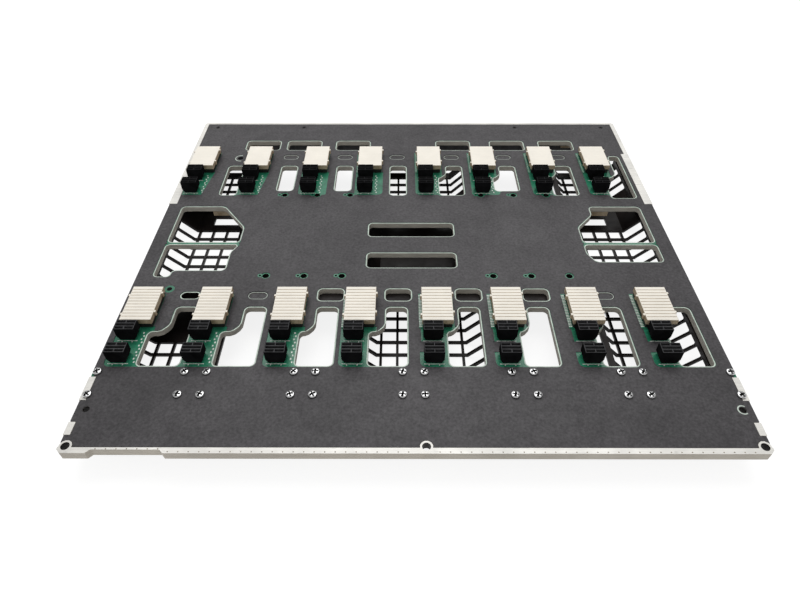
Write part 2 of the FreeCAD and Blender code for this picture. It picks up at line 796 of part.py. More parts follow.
def make_supply_connectors():
    """The six power-supply connectors and the heads of the screws that hold them through the board."""
    connector = supply_connector()
    for unit in range(6):
        item = copy_at(connector, f"supply_{unit + 1}", f"{unit - 2.5} * {cell('supply_pitch')}",
                       cell("supply_y"), 0)
        node(item, f"rear_power_connector_{unit + 1}")
    screw = doc.addObject("PartDesign::Body", "supply_screw")
    prism_feature(screw, "Additive", "head", PIN_SIDES, cell("screw_head_radius"), cell("screw_head_height"),
                  (0, 0, 0))
    copies = []
    for line in (-1, 1):
        for unit in range(6):
            for side in (-1, 1):
                x = f"{unit - 2.5} * {cell('supply_pitch')} + {side} * {cell('supply_screw_half_span')}"
                y = f"{cell('supply_y')} + {line} * {cell('supply_screw_spacing')} / 2"
                copies.append(copy_at(screw, f"supply_screw_{len(copies)}", x, y, FILM_TOP))
    group = doc.addObject("Part::Compound", "supply_screws")
    group.Links = copies
    node(group, "power_connector_screws")


def module_connector():
    """Module connector: a long shrouded socket divided into fields."""
    width, length, height = cell("module_width"), cell("module_length"), cell("module_height")
    wall, bar, depth = cell("module_wall"), cell("module_bar"), cell("module_socket_depth")
    body = doc.addObject("PartDesign::Body", "module_connector")
    box_feature(body, "Additive", "shroud", (width, length, height),
                (f"-{width} / 2", f"-{length} / 2", f"-{height}"))
    fields = int(size("module_fields"))
    field = f"({length} - 2 * {wall} - {fields - 1} * {bar}) / {fields}"
    for number in range(fields):
        y = f"{wall} - {length} / 2 + {number} * ({field} + {bar})"
        box_feature(body, "Subtractive", f"field_{number}", (f"{width} - 2 * {wall}", field, depth),
                    (f"{wall} - {width} / 2", y, f"-{height}"))
    return body


def guide_pin():
    """Guide pin: six-sided collar on the back of the board, and a pin that sticks out of it."""
    collar = cell("guide_collar_height")
    reach = f"{collar} + {cell('guide_pin_length')}"
    body = doc.addObject("PartDesign::Body", "guide_pin")
    prism_feature(body, "Additive", "collar", SHANK_SIDES, cell("guide_collar_radius"), collar,
                  (0, 0, f"-{collar}"))
    prism_feature(body, "Additive", "pin", PIN_SIDES, cell("guide_pin_radius"), reach, (0, 0, f"-({reach})"))
    return body


def make_module_connectors():
    """The six module connectors on the back and the guide pins at their ends."""
    connector = module_connector()
    pin = guide_pin()
    starts = (cell("module_left_x"), cell("module_right_x"))
    lines = [f"{start} + {step} * {cell('module_pitch')}" for start in starts for step in range(3)]
    middle = f"({cell('guide_near_y')} + {cell('guide_far_y')}) / 2"
    pins = []
    for number, x in enumerate(lines, start=1):
        item = copy_at(connector, f"module_{number}", x, middle, BOARD_BACK)
        node(item, f"rear_io_connector_{number}")
        for y in (cell("guide_near_y"), cell("guide_far_y")):
            pins.append(copy_at(pin, f"guide_pin_{len(pins)}", x, y, BOARD_BACK))
    group = doc.addObject("Part::Compound", "guide_pins")
    group.Links = pins
    node(group, "io_guide_pins")


def fan_plug_points():
    """Places of the nine fan connectors."""
    xs = (-size("fan_plug_side_x"), size("grille_middle_x"), size("fan_plug_side_x"))
    far = size("board_length") - size("fan_plug_far_edge")
    ys = (size("fan_plug_near_y"), size("fan_plug_mid_y"), far)
    return [(x, y) for y in ys for x in xs]


def make_fan_connectors():
    """Small open-topped connectors, one for each of the nine fans."""
    width, length, height = cell("fan_plug_width"), cell("fan_plug_length"), cell("fan_plug_height")
    wall, depth = cell("fan_plug_wall"), cell("fan_plug_depth")
    body = doc.addObject("PartDesign::Body", "fan_plug")
    box_feature(body, "Additive", "fan_shell", (width, length, height),
                (f"-{width} / 2", f"-{length} / 2", f"-{height}"))
    box_feature(body, "Subtractive", "fan_socket", (f"{width} - 2 * {wall}", f"{length} - 2 * {wall}", depth),
                (f"{wall} - {width} / 2", f"{wall} - {length} / 2", f"-{height}"))
    side = cell("fan_plug_side_x")
    xs = (f"-{side}", cell("grille_middle_x"), side)
    far = f"{cell('board_length')} - {cell('fan_plug_far_edge')}"
    ys = (cell("fan_plug_near_y"), cell("fan_plug_mid_y"), far)
    copies = [copy_at(body, f"fan_plug_{line}_{column}", x, y, BOARD_BACK)
              for line, y in enumerate(ys) for column, x in enumerate(xs)]
    group = doc.addObject("Part::Compound", "fan_plugs")
    group.Links = copies
    node(group, "rear_fan_connectors")


def make_frame_screws():
    """Flat screws at the far edge that hold the board in the frame."""
    screw = doc.addObject("PartDesign::Body", "frame_screw")
    film = cell("film_thickness")
    reach = f"{cell('board_thickness')} + {cell('frame_floor')}"
    prism_feature(screw, "Additive", "flat_head", HEAD_SIDES, cell("frame_screw_head_radius"), film,
                  (0, 0, 0))
    prism_feature(screw, "Additive", "flat_shank", SHANK_SIDES, cell("frame_screw_radius"), reach,
                  (0, 0, f"-({reach})"))
    y = f"{cell('board_length')} - {cell('frame_screw_edge')}"
    copies = []
    for name in ("outer", "inner"):
        for side in (-1, 1):
            x = f"{side} * {cell(f'frame_screw_{name}_x')}"
            copies.append(copy_at(screw, f"frame_screw_{len(copies)}", x, y, BOARD_TOP))
    group = doc.addObject("Part::Compound", "frame_screw_group")
    group.Links = copies
    node(group, "frame_screws")


def trough_face(half):
    """Section of a grille across its length: flat floor, slanted bends, upright sides and lips."""
    top = size("rear_depth")
    wall, lip, bend = size("grille_wall"), size("grille_lip"), size("grille_bend")
    slope = wall * math.tan(math.pi / 8)
    side = [
        (half - bend, 0), (half, bend), (half, top - wall), (half + lip, top - wall), (half + lip, top),
        (half - wall, top), (half - wall, bend + slope), (half - bend - slope, wall),
    ]
    points = side + [(-x, z) for x, z in reversed(side)]
    corners = [Vector(x, 0, z) for x, z in points]
    return Part.Face(Part.makePolygon(corners + corners[:1]))


def grille_cells(x, half, rows):
    """Blocks that open the grille's floor and sides between its bars."""
    pitch, bar = size("grille_pitch"), size("grille_bar")
    hole = pitch - bar
    columns = int(2 * (half - size("grille_bend") - size("grille_wall")) / pitch)
    side = columns * pitch / 2 + bar / 2
    reach = size("rear_depth") - 2 * size("grille_wall")
    blocks = []
    for line in rows:
        y = near_edge + size("grille_first_row_y") + line * pitch + bar / 2
        for column in range(columns):
            left = x + (column - columns / 2) * pitch + bar / 2
            blocks.append(Part.makeBox(hole, hole, reach, Vector(left, y, 0)))
        for left in (x - half, x + side):
            blocks.append(Part.makeBox(half - side, hole, reach, Vector(left, y, 0)))
    width = size("fan_plug_width") + 2 * size("grille_wall")
    length = size("fan_plug_length") + 2 * size("grille_wall")
    for plug_x, plug_y in fan_plug_points():
        if abs(plug_x - x) < half:
            corner = Vector(plug_x - width / 2, plug_y + near_edge - length / 2, 0)
            blocks.append(Part.makeBox(width, length, size("grille_wall"), corner))
    return Part.makeCompound(blocks)


def make_grille(name, x, half, x_cell, rows):
    """Fan inlet grille: a trough of bars."""
    section = doc.addObject("Part::Feature", f"{name}_section")
    section.Shape = trough_face(half)
    trough = doc.addObject("Part::Extrusion", f"{name}_trough")
    trough.Base = section
    trough.DirMode = "Custom"
    trough.Dir = Vector(0, 1, 0)
    trough.Solid = True
    bind(trough, {"LengthFwd": cell("grille_length"), ".Placement.Base.x": x_cell,
                  ".Placement.Base.y": f"{NEAR_EDGE} + {cell('grille_near_y')}"})
    cells = doc.addObject("Part::Feature", f"{name}_cells")
    cells.Shape = grille_cells(x, half, rows)
    grille = doc.addObject("Part::Cut", name)
    grille.Base = trough
    grille.Tool = cells
    grille.Refine = True
    return node(grille, name)


def make_grilles():
    """The three fan inlet grilles, whose bars turn up at both sides."""
    side = cell("grille_side_x")
    names = ("fan_grille_left", "fan_grille_centre", "fan_grille_right")
    x_cells = (f"-{side}", cell("grille_middle_x"), side)
    rows = (
        LEFT_NEAR_CELL_ROWS + MIDDLE_CELL_ROWS + FAR_CELL_ROWS,
        NEAR_CELL_ROWS + FAR_CELL_ROWS,
        NEAR_CELL_ROWS + MIDDLE_CELL_ROWS + FAR_CELL_ROWS,
    )
    for name, (x, half), x_cell, lines in zip(names, grille_spans(), x_cells, rows):
        make_grille(name, x, half, x_cell, lines)


def check_model():
    """Stop if an object failed to build or a sub-part has no sound shape."""
    for item in doc.Objects:
        if "Invalid" in item.State or "Error" in item.State:
            raise RuntimeError(f"{item.Label} failed: {item.State}")
    for item in NODES:
        if item.Shape.isNull() or not item.Shape.isValid() or not item.Shape.Solids:
            raise RuntimeError(f"{item.Label} has no sound shape")


make_board()
make_film()
make_backing_sheet()
make_frame()
make_seal_bar()
make_blade_connectors()
make_supply_connectors()
make_module_connectors()
make_fan_connectors()
make_frame_screws()
make_grilles()
doc.recompute()
check_model()

os.makedirs("parts", exist_ok=True)
for item in NODES:
    item.Shape.exportStep(os.path.join("parts", f"{item.Label}.step"))
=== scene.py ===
import math

import bmesh
import bpy
import numpy as np
from bpy.props import FloatProperty, FloatVectorProperty, IntProperty, PointerProperty
from mathutils import Matrix, Vector


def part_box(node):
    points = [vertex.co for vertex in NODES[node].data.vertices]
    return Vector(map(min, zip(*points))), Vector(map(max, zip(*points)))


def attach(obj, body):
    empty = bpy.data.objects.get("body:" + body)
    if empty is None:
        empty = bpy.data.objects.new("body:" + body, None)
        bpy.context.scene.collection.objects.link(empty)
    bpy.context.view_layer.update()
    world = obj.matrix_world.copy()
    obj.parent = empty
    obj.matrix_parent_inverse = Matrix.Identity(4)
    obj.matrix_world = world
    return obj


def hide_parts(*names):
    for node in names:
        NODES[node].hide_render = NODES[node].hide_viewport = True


bl_info = {
    "name": "Blade chassis midplane",
    "version": (1, 0, 0),
    "blender": (4, 5, 0),
    "location": "3D View > Sidebar > Midplane",
    "description": "Dresses the solids of a blade chassis midplane with detailed pieces and finishes",
    "category": "Object",
}

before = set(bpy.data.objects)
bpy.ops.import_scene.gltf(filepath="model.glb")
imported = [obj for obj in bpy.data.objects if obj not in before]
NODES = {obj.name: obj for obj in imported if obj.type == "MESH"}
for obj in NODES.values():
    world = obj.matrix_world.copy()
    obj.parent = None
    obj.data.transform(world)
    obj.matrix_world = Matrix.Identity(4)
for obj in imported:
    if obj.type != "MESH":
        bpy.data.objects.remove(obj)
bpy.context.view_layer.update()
MM = 0.001


def mm(*values):
    """Lengths given in millimetres, as an array in metres."""
    return np.array(values) * MM


# Numbers of the blade bays.
BAYS = range(1, 17)

# Points on a round corner, on a small disc, and on a screw head or bore.
CORNER_STEPS, DISC_STEPS, HEAD_STEPS = 7, 24, 32

# Thickness of marks, and how high they lie over a face or over another mark.
FLAT, LIFT, LAYER = mm(0.05, 0.02, 0.01)

# Points closer than this are made one.
WELD = 0.0001 * MM

# Small holes and narrow slots of the board.
SMALL_HOLE = 9.0 * MM
COVER_TOP, COVER_FOOT, SLOT_FILM, SLOT_BARE = mm(0.5, 1.2, 1.7, 0.3)
LINING_DROP, LINING_SHARE = 0.1 * MM, 0.985

# Small round holes that the solids leave out: places, radii, and half angles of the gaps in their rings. The
# dark bores are painted shade, and so are the gaps on the rings' right side.
LONE_HOLE, RING_HOLE, EDGE_HOLE = mm(-182.7, -55.8), mm(-163.5, 126.0), mm(205.5, -163.9)
LONE_LAND, LONE_BORE, RING_OUTER, RING_INNER, RING_BORE = mm(3.8, 2.0, 5.2, 4.5, 2.6)
EDGE_OUTER, EDGE_INNER = mm(3.5, 2.7)
RING_GAP, EDGE_GAP = 1.3, 0.9

# Small holes left of the guide pins, apart from the outermost pins.
PIN_HOLE_SHIFT = mm(-4.4, 0.0)
PIN_LAND, PIN_BORE, PIN_ROOM = mm(1.9, 0.9, 1.0)

# Green strips and tinned pads beside the signal connectors.
STRIP_WIDTH, STRIP_UNDER, STRIP_EXTRA = mm(3.0, 0.9, 1.0)
PAD_PITCH, PAD_OUT, PAD_START, PAD_STOP = mm(1.55, 0.9, 1.2, 1.0)
NEAR_PAD, FAR_PAD = mm(2.3, 0.8), mm(1.2, 0.5)

# Printed ticks right of the power connectors, and a line with two ticks below each block.
TICK_PITCH, TICK_OUT, TICK_SWAY, TICK_START, TICK_ROOM = mm(2.9, 2.9, 0.5, 0.5, 1.5)
SIDE_TICK, END_TICK = mm(1.0, 1.4), mm(0.75, 1.3)
LINE_WIDTH, LINE_BELOW, END_TICK_IN, END_TICK_BELOW = mm(0.55, 0.9, 3.4, 1.6)

# Tongues of film: offsets of their left, right, bottom and top from sides of connectors. The first, right of
# the signal connectors of the left bays, is painted shadow.
SHADOW_TONGUE, BETWEEN_TONGUE = mm(-0.2, 1.7, 1.0, 1.7), mm(-3.2, -1.0, 0.6, -1.5)
BLOCK_TONGUE, CORNER_TONGUE = mm(-6.0, -1.6, -2.0, -1.0), mm(-4.5, 9.0, -4.5, 1.0)
CORNER_TOP_LEFT, CORNER_BAYS = mm(0.5, -100.0)

# Greatest share of an edge that a round corner of a film window takes.
FILM_SHARE = 0.48

# Grooves with their painted shade, foot and ears of the signal connectors; the far row's grooves are fainter.
GROOVE_SLOPE, GROOVE_SHADE, FAR_RELIEF = 0.12 * MM, 0.3, 0.2
FOOT_HEIGHT, FOOT_RECESS, FOOT_BEVEL = mm(4.1, 0.6, 0.05)
EAR_OUT, EAR_PLACE, EAR_SHIFT, EAR_DROP, EAR_BEVEL = mm(0.4, 9.4, 1.3, 0.3, 0.2)
EAR_HALF = mm(0.75, 1.0)

# Cavities, outer walls and painted highlights on the edges of the power connectors.
CAVITY_SLOPE, WALL_STEP, WALL_INSET = mm(0.06, 3.4, 1.9)
NEAR_HIGHLIGHT, FAR_HIGHLIGHT = 0.8, 0.2

# Bevel of the carrier frame; the near rim's holes, whose bores are lined with painted shade; and dents, which
# lie further in on the left tab.
FRAME_BEVEL = 0.3 * MM
RIM_HOLES = mm(-208.3, 7.0, 208.3)
RIM_HOLE_LINE, RIM_HOLE_RADIUS = mm(-190.2, 2.72)
DENT_FIRST, DENT_LAST, DENT_PITCH, DENT_RADIUS, DENT_ROOM = mm(-189.7, 203.0, 6.2, 0.42, 7.0)
DENT_LINE, TAB_DENT_LINE, TAB_END = mm(-193.9, -192.0, -151.0)

# Height of the dark screw heads, and the seed of the turns of all screws.
EDGE_HEAD = 0.4 * MM
TURN_SEED = 7

# Floor, light from all round, lights as (name, place, width, power), and camera.
FLOOR_REACH, FLOOR_DROP = 3.0, 0.2 * MM
FLOOR_GREY, FLOOR_GLOW = 0.3, 0.85
SKY_LIGHT = 0.42
LIGHTS = (("top_light", (0.0, 0.75, 1.4), 1.6, 17.0), ("front_light", (-0.5, -1.3, 0.9), 1.0, 2.5))
CAMERA_PLACE = (-0.00821, -0.38028, 0.33875)
CAMERA_PITCH, CAMERA_YAW, CAMERA_ROLL = 0.78724, 0.00279, 0.00096
CAMERA_LENS, CAMERA_SENSOR, CAMERA_CLIP = 27.0, 36.0, 0.01


def screen(red, green, blue):
    """Linear colour of an 8-bit screen colour."""
    share = np.array((red, green, blue)) / 255
    return tuple(np.where(share <= 0.04045, share / 12.92, ((share + 0.055) / 1.055) ** 2.4).tolist())


def scaled(colour, factor):
    """Colour times a factor, up to white."""
    return tuple(min(1.0, value * factor) for value in colour)


def length(name, description, millimetres):
    """Length setting of the panel, given in millimetres."""
    return FloatProperty(name=name, description=description, default=millimetres * MM, min=0.0,
                         precision=5, subtype="DISTANCE", unit="LENGTH")


def tint(name, description, colour):
    """Colour setting of the panel."""
    return FloatVectorProperty(name=name, description=description, default=colour, size=3, min=0.0, max=1.0,
                               subtype="COLOR")


class MidplaneShapes(bpy.types.PropertyGroup):
    """Sizes of the details that the solids leave plain."""

    opening_radius: length("Opening radius", "Corner radius of the board's openings", 3.4)
    film_radius: length("Film radius", "Corner radius of the film's windows", 4.4)
    outline_radius: length("Outline radius", "Corner radius of the board's outline", 0.5)
    bare_width: length("Bare edge", "Width of the bare laminate round an opening", 0.8)
    rib_pitch: length("Rib pitch", "Distance between the ribs of a signal connector", 3.0)
    rib_count: IntProperty(name="Grooves", description="Grooves in a signal connector", default=10, min=1)
    rib_groove: length("Groove width", "Width of the grooves between ribs", 0.32)
    rib_depth: length("Groove depth", "Depth of the grooves between ribs", 0.28)
    rib_inset: length("Groove inset", "Distance from a groove's end to the connector's side", 0.5)
    edge: length("Moulded edge", "Bevel of moulded edges", 0.25)
    power_wall: length("Power wall", "Outer wall of a power connector", 0.5)
    power_rib: length("Power rib", "Rib between two cavities of a power connector", 0.5)
    power_depth: length("Cavity depth", "Depth of a power connector's cavities", 5.5)


class MidplaneColours(bpy.types.PropertyGroup):
    """Colours of the finishes."""

    film: tint("Film", "Insulating film", screen(69, 67, 69))
    mask: tint("Solder mask", "Green lacquer of the board", screen(42, 130, 98))
    laminate: tint("Laminate", "Cut walls of the board", screen(182, 178, 168))
    bare: tint("Bare edge", "Bare laminate round the openings", screen(206, 219, 207))
    metal: tint("Metal", "Metal of the carrier frame", screen(240, 238, 232))
    ivory: tint("Ivory", "Signal connectors", screen(251, 245, 233))
    black: tint("Black", "Moulded black plastic", screen(24, 24, 25))
    steel: tint("Steel", "Bright screws", screen(226, 226, 226))
    dark_steel: tint("Dark steel", "Blackened screws", screen(62, 61, 62))
    marks: tint("Marks", "Printed marks and tinned pads", screen(232, 238, 230))


class MidplaneSettings(bpy.types.PropertyGroup):
    """All settings of the midplane."""

    shapes: PointerProperty(type=MidplaneShapes)
    colours: PointerProperty(type=MidplaneColours)


def shapes():
    """Current sizes."""
    return bpy.context.scene.midplane.shapes


def colours():
    """Current colours."""
    return bpy.context.scene.midplane.colours


class Finish:
    """Node tree of one surface finish, on Object coordinates."""

    def __init__(self, name, colour, roughness, metallic=0.0, specular=0.5):
        self.material = bpy.data.materials.new(name)
        self.material.use_nodes = True
        self.nodes = self.material.node_tree.nodes
        self.links = self.material.node_tree.links
        self.shader = self.nodes["Principled BSDF"]
        self.position = self.nodes.new("ShaderNodeTexCoord").outputs["Object"]
        self.colour = tuple(colour)
        self.join(self.colour, "Base Color")
        self.join(roughness, "Roughness")
        self.join(metallic, "Metallic")
        self.join(specular, "Specular IOR Level")

    def join(self, source, socket):
        """Link an output to a socket, or set it to a number or colour; a name is a socket of the shader."""
        if isinstance(socket, str):
            socket = self.shader.inputs[socket]
        if isinstance(source, bpy.types.NodeSocket):
            self.links.new(source, socket)
        else:
            socket.default_value = source if isinstance(source, float) else (*source, 1.0)

    def node(self, kind, **inputs):
        """New node with its inputs joined by name, where an underscore stands for a space."""
        item = self.nodes.new(f"ShaderNode{kind}")
        for name, source in inputs.items():
            self.join(source, item.inputs[name.replace("_", " ")])
        return item

    def noise(self, scale, detail=4.0, roughness=0.55, stretch=(1.0, 1.0, 1.0)):
        """Noise between 0 and 1, in cycles for each metre, stretched by a factor on each axis."""
        mapping = self.node("Mapping", Vector=self.position)
        mapping.inputs["Scale"].default_value = stretch
        item = self.node("TexNoise", Vector=mapping.outputs["Vector"], Scale=scale, Detail=detail,
                         Roughness=roughness)
        return item.outputs["Fac"]

    def ramp(self, factor, stops):
        """Colour ramp between two (place, colour) stops."""
        item = self.node("ValToRGB", Fac=factor)
        for element, (place, colour) in zip(item.color_ramp.elements, stops):
            element.position = place
            element.color = (*colour, 1.0)
        return item.outputs["Color"]

    def shades(self, factor, dark, light, colour=None):
        """A colour, or else the finish's own, times two factors, by a value from 0.3 to 0.7."""
        colour = colour or self.colour
        return self.ramp(factor, [(0.3, scaled(colour, dark)), (0.7, scaled(colour, light))])

    def grey(self, factor, low_value, high_value, low=0.3, high=0.7):
        """Two values, by another value from low to high."""
        return self.ramp(factor, [(low, (low_value,) * 3), (high, (high_value,) * 3)])

    def mix(self, factor, first, second, blend="MIX"):
        """Mix of two colours, each an output or a colour; the node's colour sockets go by number."""
        item = self.nodes.new("ShaderNodeMix")
        item.data_type = "RGBA"
        item.blend_type = blend
        for source, number in ((factor, 0), (first, 6), (second, 7)):
            self.join(source, item.inputs[number])
        return item.outputs[2]

    def product(self, first, second):
        """Product of two values."""
        item = self.nodes.new("ShaderNodeMath")
        item.operation = "MULTIPLY"
        self.join(first, item.inputs[0])
        self.join(second, item.inputs[1])
        return item.outputs[0]

    def upward(self):
        """1 on surfaces that face up, 0 on walls and undersides."""
        normal = self.nodes.new("ShaderNodeNewGeometry").outputs["True Normal"]
        rise = self.node("SeparateXYZ", Vector=normal).outputs["Z"]
        return self.node("MapRange", Value=rise, From_Min=0.5, From_Max=0.8).outputs["Result"]

    def value(self, name):
        """A named value stored on the mesh."""
        item = self.nodes.new("ShaderNodeAttribute")
        item.attribute_name = name
        return item.outputs["Fac"]

    def bump(self, height, strength, distance):
        """Relief from a height value; the distance is in metres."""
        item = self.node("Bump", Height=height, Strength=strength, Distance=distance)
        self.join(item.outputs["Normal"], "Normal")

    def uneven_gloss(self, scale, detail, low, high):
        """Roughness from low to high, by noise."""
        self.join(self.grey(self.noise(scale, detail), low, high), "Roughness")

    def fine_relief(self, scale, detail, strength, distance):
        """Relief from noise; the distance is in metres."""
        self.bump(self.noise(scale, detail), strength, distance)


def film_finish():
    """Charcoal film: fine grain, cloudy shade and a few rubbed streaks."""
    finish = Finish("charcoal_film", colours().film, 0.5, 0.0, 0.3)
    clouds = finish.shades(finish.noise(22.0, 6.0, 0.7), 0.72, 1.28)
    grain = finish.grey(finish.noise(520.0, 3.0, 0.7), 0.62, 1.38)
    streaks = finish.grey(finish.noise(55.0, 5.0, 0.65, (1.0, 0.18, 1.0)), 0.0, 0.22, 0.58, 0.74)
    cloudy = finish.mix(1.0, clouds, grain, "MULTIPLY")
    finish.join(finish.mix(streaks, cloudy, scaled(finish.colour, 1.7)), "Base Color")
    finish.uneven_gloss(90.0, 4.0, 0.42, 0.6)
    finish.fine_relief(2200.0, 2.0, 0.25, 0.05 * MM)
    return finish.material


def board_finish():
    """Circuit board: green lacquer over faint tracks on top, layered laminate on the cut walls."""
    finish = Finish("circuit_board", colours().mask, 0.35)
    tracks = finish.node(
        "TexBrick", Vector=finish.position, Color1=(1.0,) * 3, Color2=(0.86,) * 3, Mortar=(0.6,) * 3,
        Scale=1.0, Mortar_Size=0.28 * MM, Mortar_Smooth=0.4, Brick_Width=5.8 * MM, Row_Height=1.3 * MM)
    lacquer = finish.shades(finish.noise(120.0, 3.0), 0.72, 1.25)
    green = finish.mix(1.0, lacquer, tracks.outputs["Color"], "MULTIPLY")
    layers = finish.noise(1.0, 3.0, 0.6, (120.0, 120.0, 1900.0))
    laminate = finish.shades(layers, 0.7, 1.25, tuple(colours().laminate))
    finish.join(finish.mix(finish.upward(), laminate, green), "Base Color")
    finish.join(finish.grey(finish.upward(), 0.7, 0.3, 0.0, 1.0), "Roughness")
    finish.bump(tracks.outputs["Color"], 0.2, 0.04 * MM)
    return finish.material


def bare_finish():
    """Bare laminate edge: pale, slightly green and uneven."""
    finish = Finish("bare_laminate", colours().bare, 0.55)
    finish.join(finish.shades(finish.noise(160.0, 4.0), 0.72, 1.12), "Base Color")
    finish.fine_relief(2500.0, 2.0, 0.3, 0.04 * MM)
    return finish.material


def frame_finish():
    """Plain sheet metal: brushed grain, dull patches, small dark scratches, and painted shade that darkens
    its walls.
    """
    finish = Finish("frame_sheet", colours().metal, 0.45, 0.2)
    patches = finish.shades(finish.noise(35.0, 5.0, 0.6), 0.84, 1.05)
    grain = finish.grey(finish.noise(700.0, 3.0, 0.6, (0.05, 1.0, 1.0)), 0.92, 1.06)
    scratches = finish.grey(finish.noise(420.0, 2.0, 0.5, (0.25, 1.0, 1.0)), 0.0, 0.5, 0.66, 0.74)
    brushed = finish.mix(1.0, patches, grain, "MULTIPLY")
    worn = finish.mix(scratches, brushed, scaled(finish.colour, 0.55))
    # Painted shade: the walls are darker than the faces that look up.
    walls = finish.mix(1.0, worn, screen(222, 216, 207), "MULTIPLY")
    finish.join(finish.mix(finish.upward(), walls, worn), "Base Color")
    finish.uneven_gloss(60.0, 4.0, 0.34, 0.55)
    finish.bump(finish.noise(900.0, 3.0, 0.6, (0.08, 1.0, 1.0)), 0.12, 0.06 * MM)
    return finish.material


def ivory_finish():
    """Ivory moulding: pale on top; painted shade makes it tan in its grooves and on its walls, and painted
    shadow makes it dark under it.
    """
    finish = Finish("ivory_moulding", colours().ivory, 0.55)
    shade = finish.shades(finish.noise(70.0, 3.0), 0.94, 1.02)
    # Painted shade: tan walls and grooves. Painted shadow: a near-black foot under the block.
    painted_wall_shade = [(0.35, screen(170, 150, 122)), (0.65, screen(205, 188, 160))]
    wall = finish.ramp(finish.noise(160.0, 4.0), painted_wall_shade)
    top = finish.mix(finish.value("groove"), shade, screen(196, 178, 148))
    body = finish.mix(finish.upward(), wall, top)
    finish.join(finish.mix(finish.value("gap_shadow"), body, screen(30, 26, 24)), "Base Color")
    finish.uneven_gloss(300.0, 3.0, 0.48, 0.62)
    finish.fine_relief(3200.0, 2.0, 0.2, 0.04 * MM)
    return finish.material


def black_finish():
    """Black moulding: satin, with pale edges of painted highlight where a value on the mesh marks them."""
    finish = Finish("black_moulding", colours().black, 0.6, 0.0, 0.0)
    shade = finish.shades(finish.noise(140.0, 4.0), 0.6, 1.4)
    crest_highlight = finish.product(finish.value("crest_highlight"), finish.grey(finish.noise(260.0, 3.0), 0.55, 1.0))
    # Painted highlight: pale edges on the tops of the cavity walls.
    finish.join(finish.mix(crest_highlight, shade, screen(98, 98, 100)), "Base Color")
    finish.uneven_gloss(220.0, 3.0, 0.36, 0.55)
    finish.fine_relief(2600.0, 2.0, 0.22, 0.05 * MM)
    return finish.material


def grille_finish():
    """Black grille plastic: slightly glossy, with a little dust on what faces up."""
    finish = Finish("grille_plastic", screen(26, 21, 20), 0.45, 0.0, 0.15)
    shade = finish.shades(finish.noise(90.0, 4.0), 0.7, 1.3)
    dust = finish.product(finish.upward(), finish.grey(finish.noise(60.0, 5.0), 0.0, 0.12))
    finish.join(finish.mix(dust, shade, screen(84, 81, 78)), "Base Color")
    finish.uneven_gloss(140.0, 4.0, 0.3, 0.5)
    finish.fine_relief(1800.0, 2.0, 0.2, 0.06 * MM)
    return finish.material


def rubber_finish():
    """Black seal rubber: open-celled grain, dull, a little grey where it is rubbed."""
    finish = Finish("seal_rubber", colours().black, 0.8)
    shade = finish.shades(finish.noise(700.0, 4.0), 0.6, 1.5)
    paleness = finish.grey(finish.noise(45.0, 5.0), 0.0, 0.3, 0.5, 0.75)
    finish.join(finish.mix(paleness, shade, screen(60, 58, 57)), "Base Color")
    finish.uneven_gloss(300.0, 3.0, 0.7, 0.9)
    finish.fine_relief(1600.0, 3.0, 0.4, 0.1 * MM)
    return finish.material


def steel_finish(name, colour, roughness):
    """Screw metal: turned grain, small stains, and painted shade in the recess and under the head's edge."""
    finish = Finish(name, colour, roughness, 1.0)
    shade = finish.shades(finish.noise(500.0, 4.0), 0.82, 1.08)
    # Painted shade: near black in the recess and under the head's edge.
    finish.join(finish.mix(finish.value("screw_shade"), shade, screen(16, 15, 15)), "Base Color")
    finish.uneven_gloss(900.0, 3.0, roughness * 0.8, roughness * 1.5)
    finish.fine_relief(3000.0, 2.0, 0.08, 0.03 * MM)
    return finish.material


def marks_finish():
    """Printed marks and tinned pads: thin, pale and patchy."""
    finish = Finish("printed_marks", colours().marks, 0.5)
    finish.join(finish.shades(finish.noise(900.0, 3.0), 0.6, 1.15), "Base Color")
    return finish.material


def dent_finish():
    """Dull tan dents in the rim's edge."""
    finish = Finish("rim_dent", screen(150, 140, 124), 0.6)
    finish.join(finish.shades(finish.noise(400.0, 3.0), 0.6, 1.3), "Base Color")
    return finish.material


def placed(name, data):
    """New object of the scene."""
    item = bpy.data.objects.new(name, data)
    bpy.context.scene.collection.objects.link(item)
    return item


def coat(mesh, material):
    """Give a mesh one material in place of those it has."""
    mesh.materials.clear()
    mesh.materials.append(material)


def put(name, vertices, faces, material, slot, stands_for=(), values=None):
    """Make a piece from arrays and let it ride with the midplane; named values are stored on its points."""
    mesh = bpy.data.meshes.new(name)
    mesh.from_pydata(vertices.tolist(), [], faces)
    for key, array in (values or {}).items():
        layer = mesh.attributes.new(key, "FLOAT", "POINT")
        layer.data.foreach_set("value", np.asarray(array, np.float32))
    mesh.validate()
    mesh.update()
    put_mesh(mesh, material, stands_for)


def put_mesh(mesh, material, stands_for=()):
    """Let a finished mesh ride with the midplane as a flat-shaded piece."""
    piece = placed(mesh.name, mesh)
    coat(mesh, material)
    mesh.polygons.foreach_set("use_smooth", np.zeros(len(mesh.polygons), bool))
    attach(piece, "root")
    if stands_for:
        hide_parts(*stands_for)
    return piece


def quads(rows, columns, closed=False):
    """Faces of a grid of points, row by row; a closed grid joins its last column to its first."""
    spans = columns if closed else columns - 1
    row, column = np.meshgrid(np.arange(rows - 1), np.arange(spans), indexing="ij")
    after = (column + 1) % columns
    return np.stack([row * columns + column, row * columns + after,
                     (row + 1) * columns + after, (row + 1) * columns + column], axis=-1).reshape(-1, 4)


def gather(parts):
    """Join (vertices, faces) parts into one list of vertices and one of faces."""
    vertices, faces, start = [], [], 0
    for points, cells in parts:
        vertices.append(np.asarray(points, float))
        faces += [[int(index) + start for index in cell] for cell in cells]
        start += len(points)
    return np.concatenate(vertices), faces


def halves(low, high):
    """Centre and half size of a box."""
    low, high = np.array(low, float), np.array(high, float)
    return (low + high) / 2, (high - low) / 2


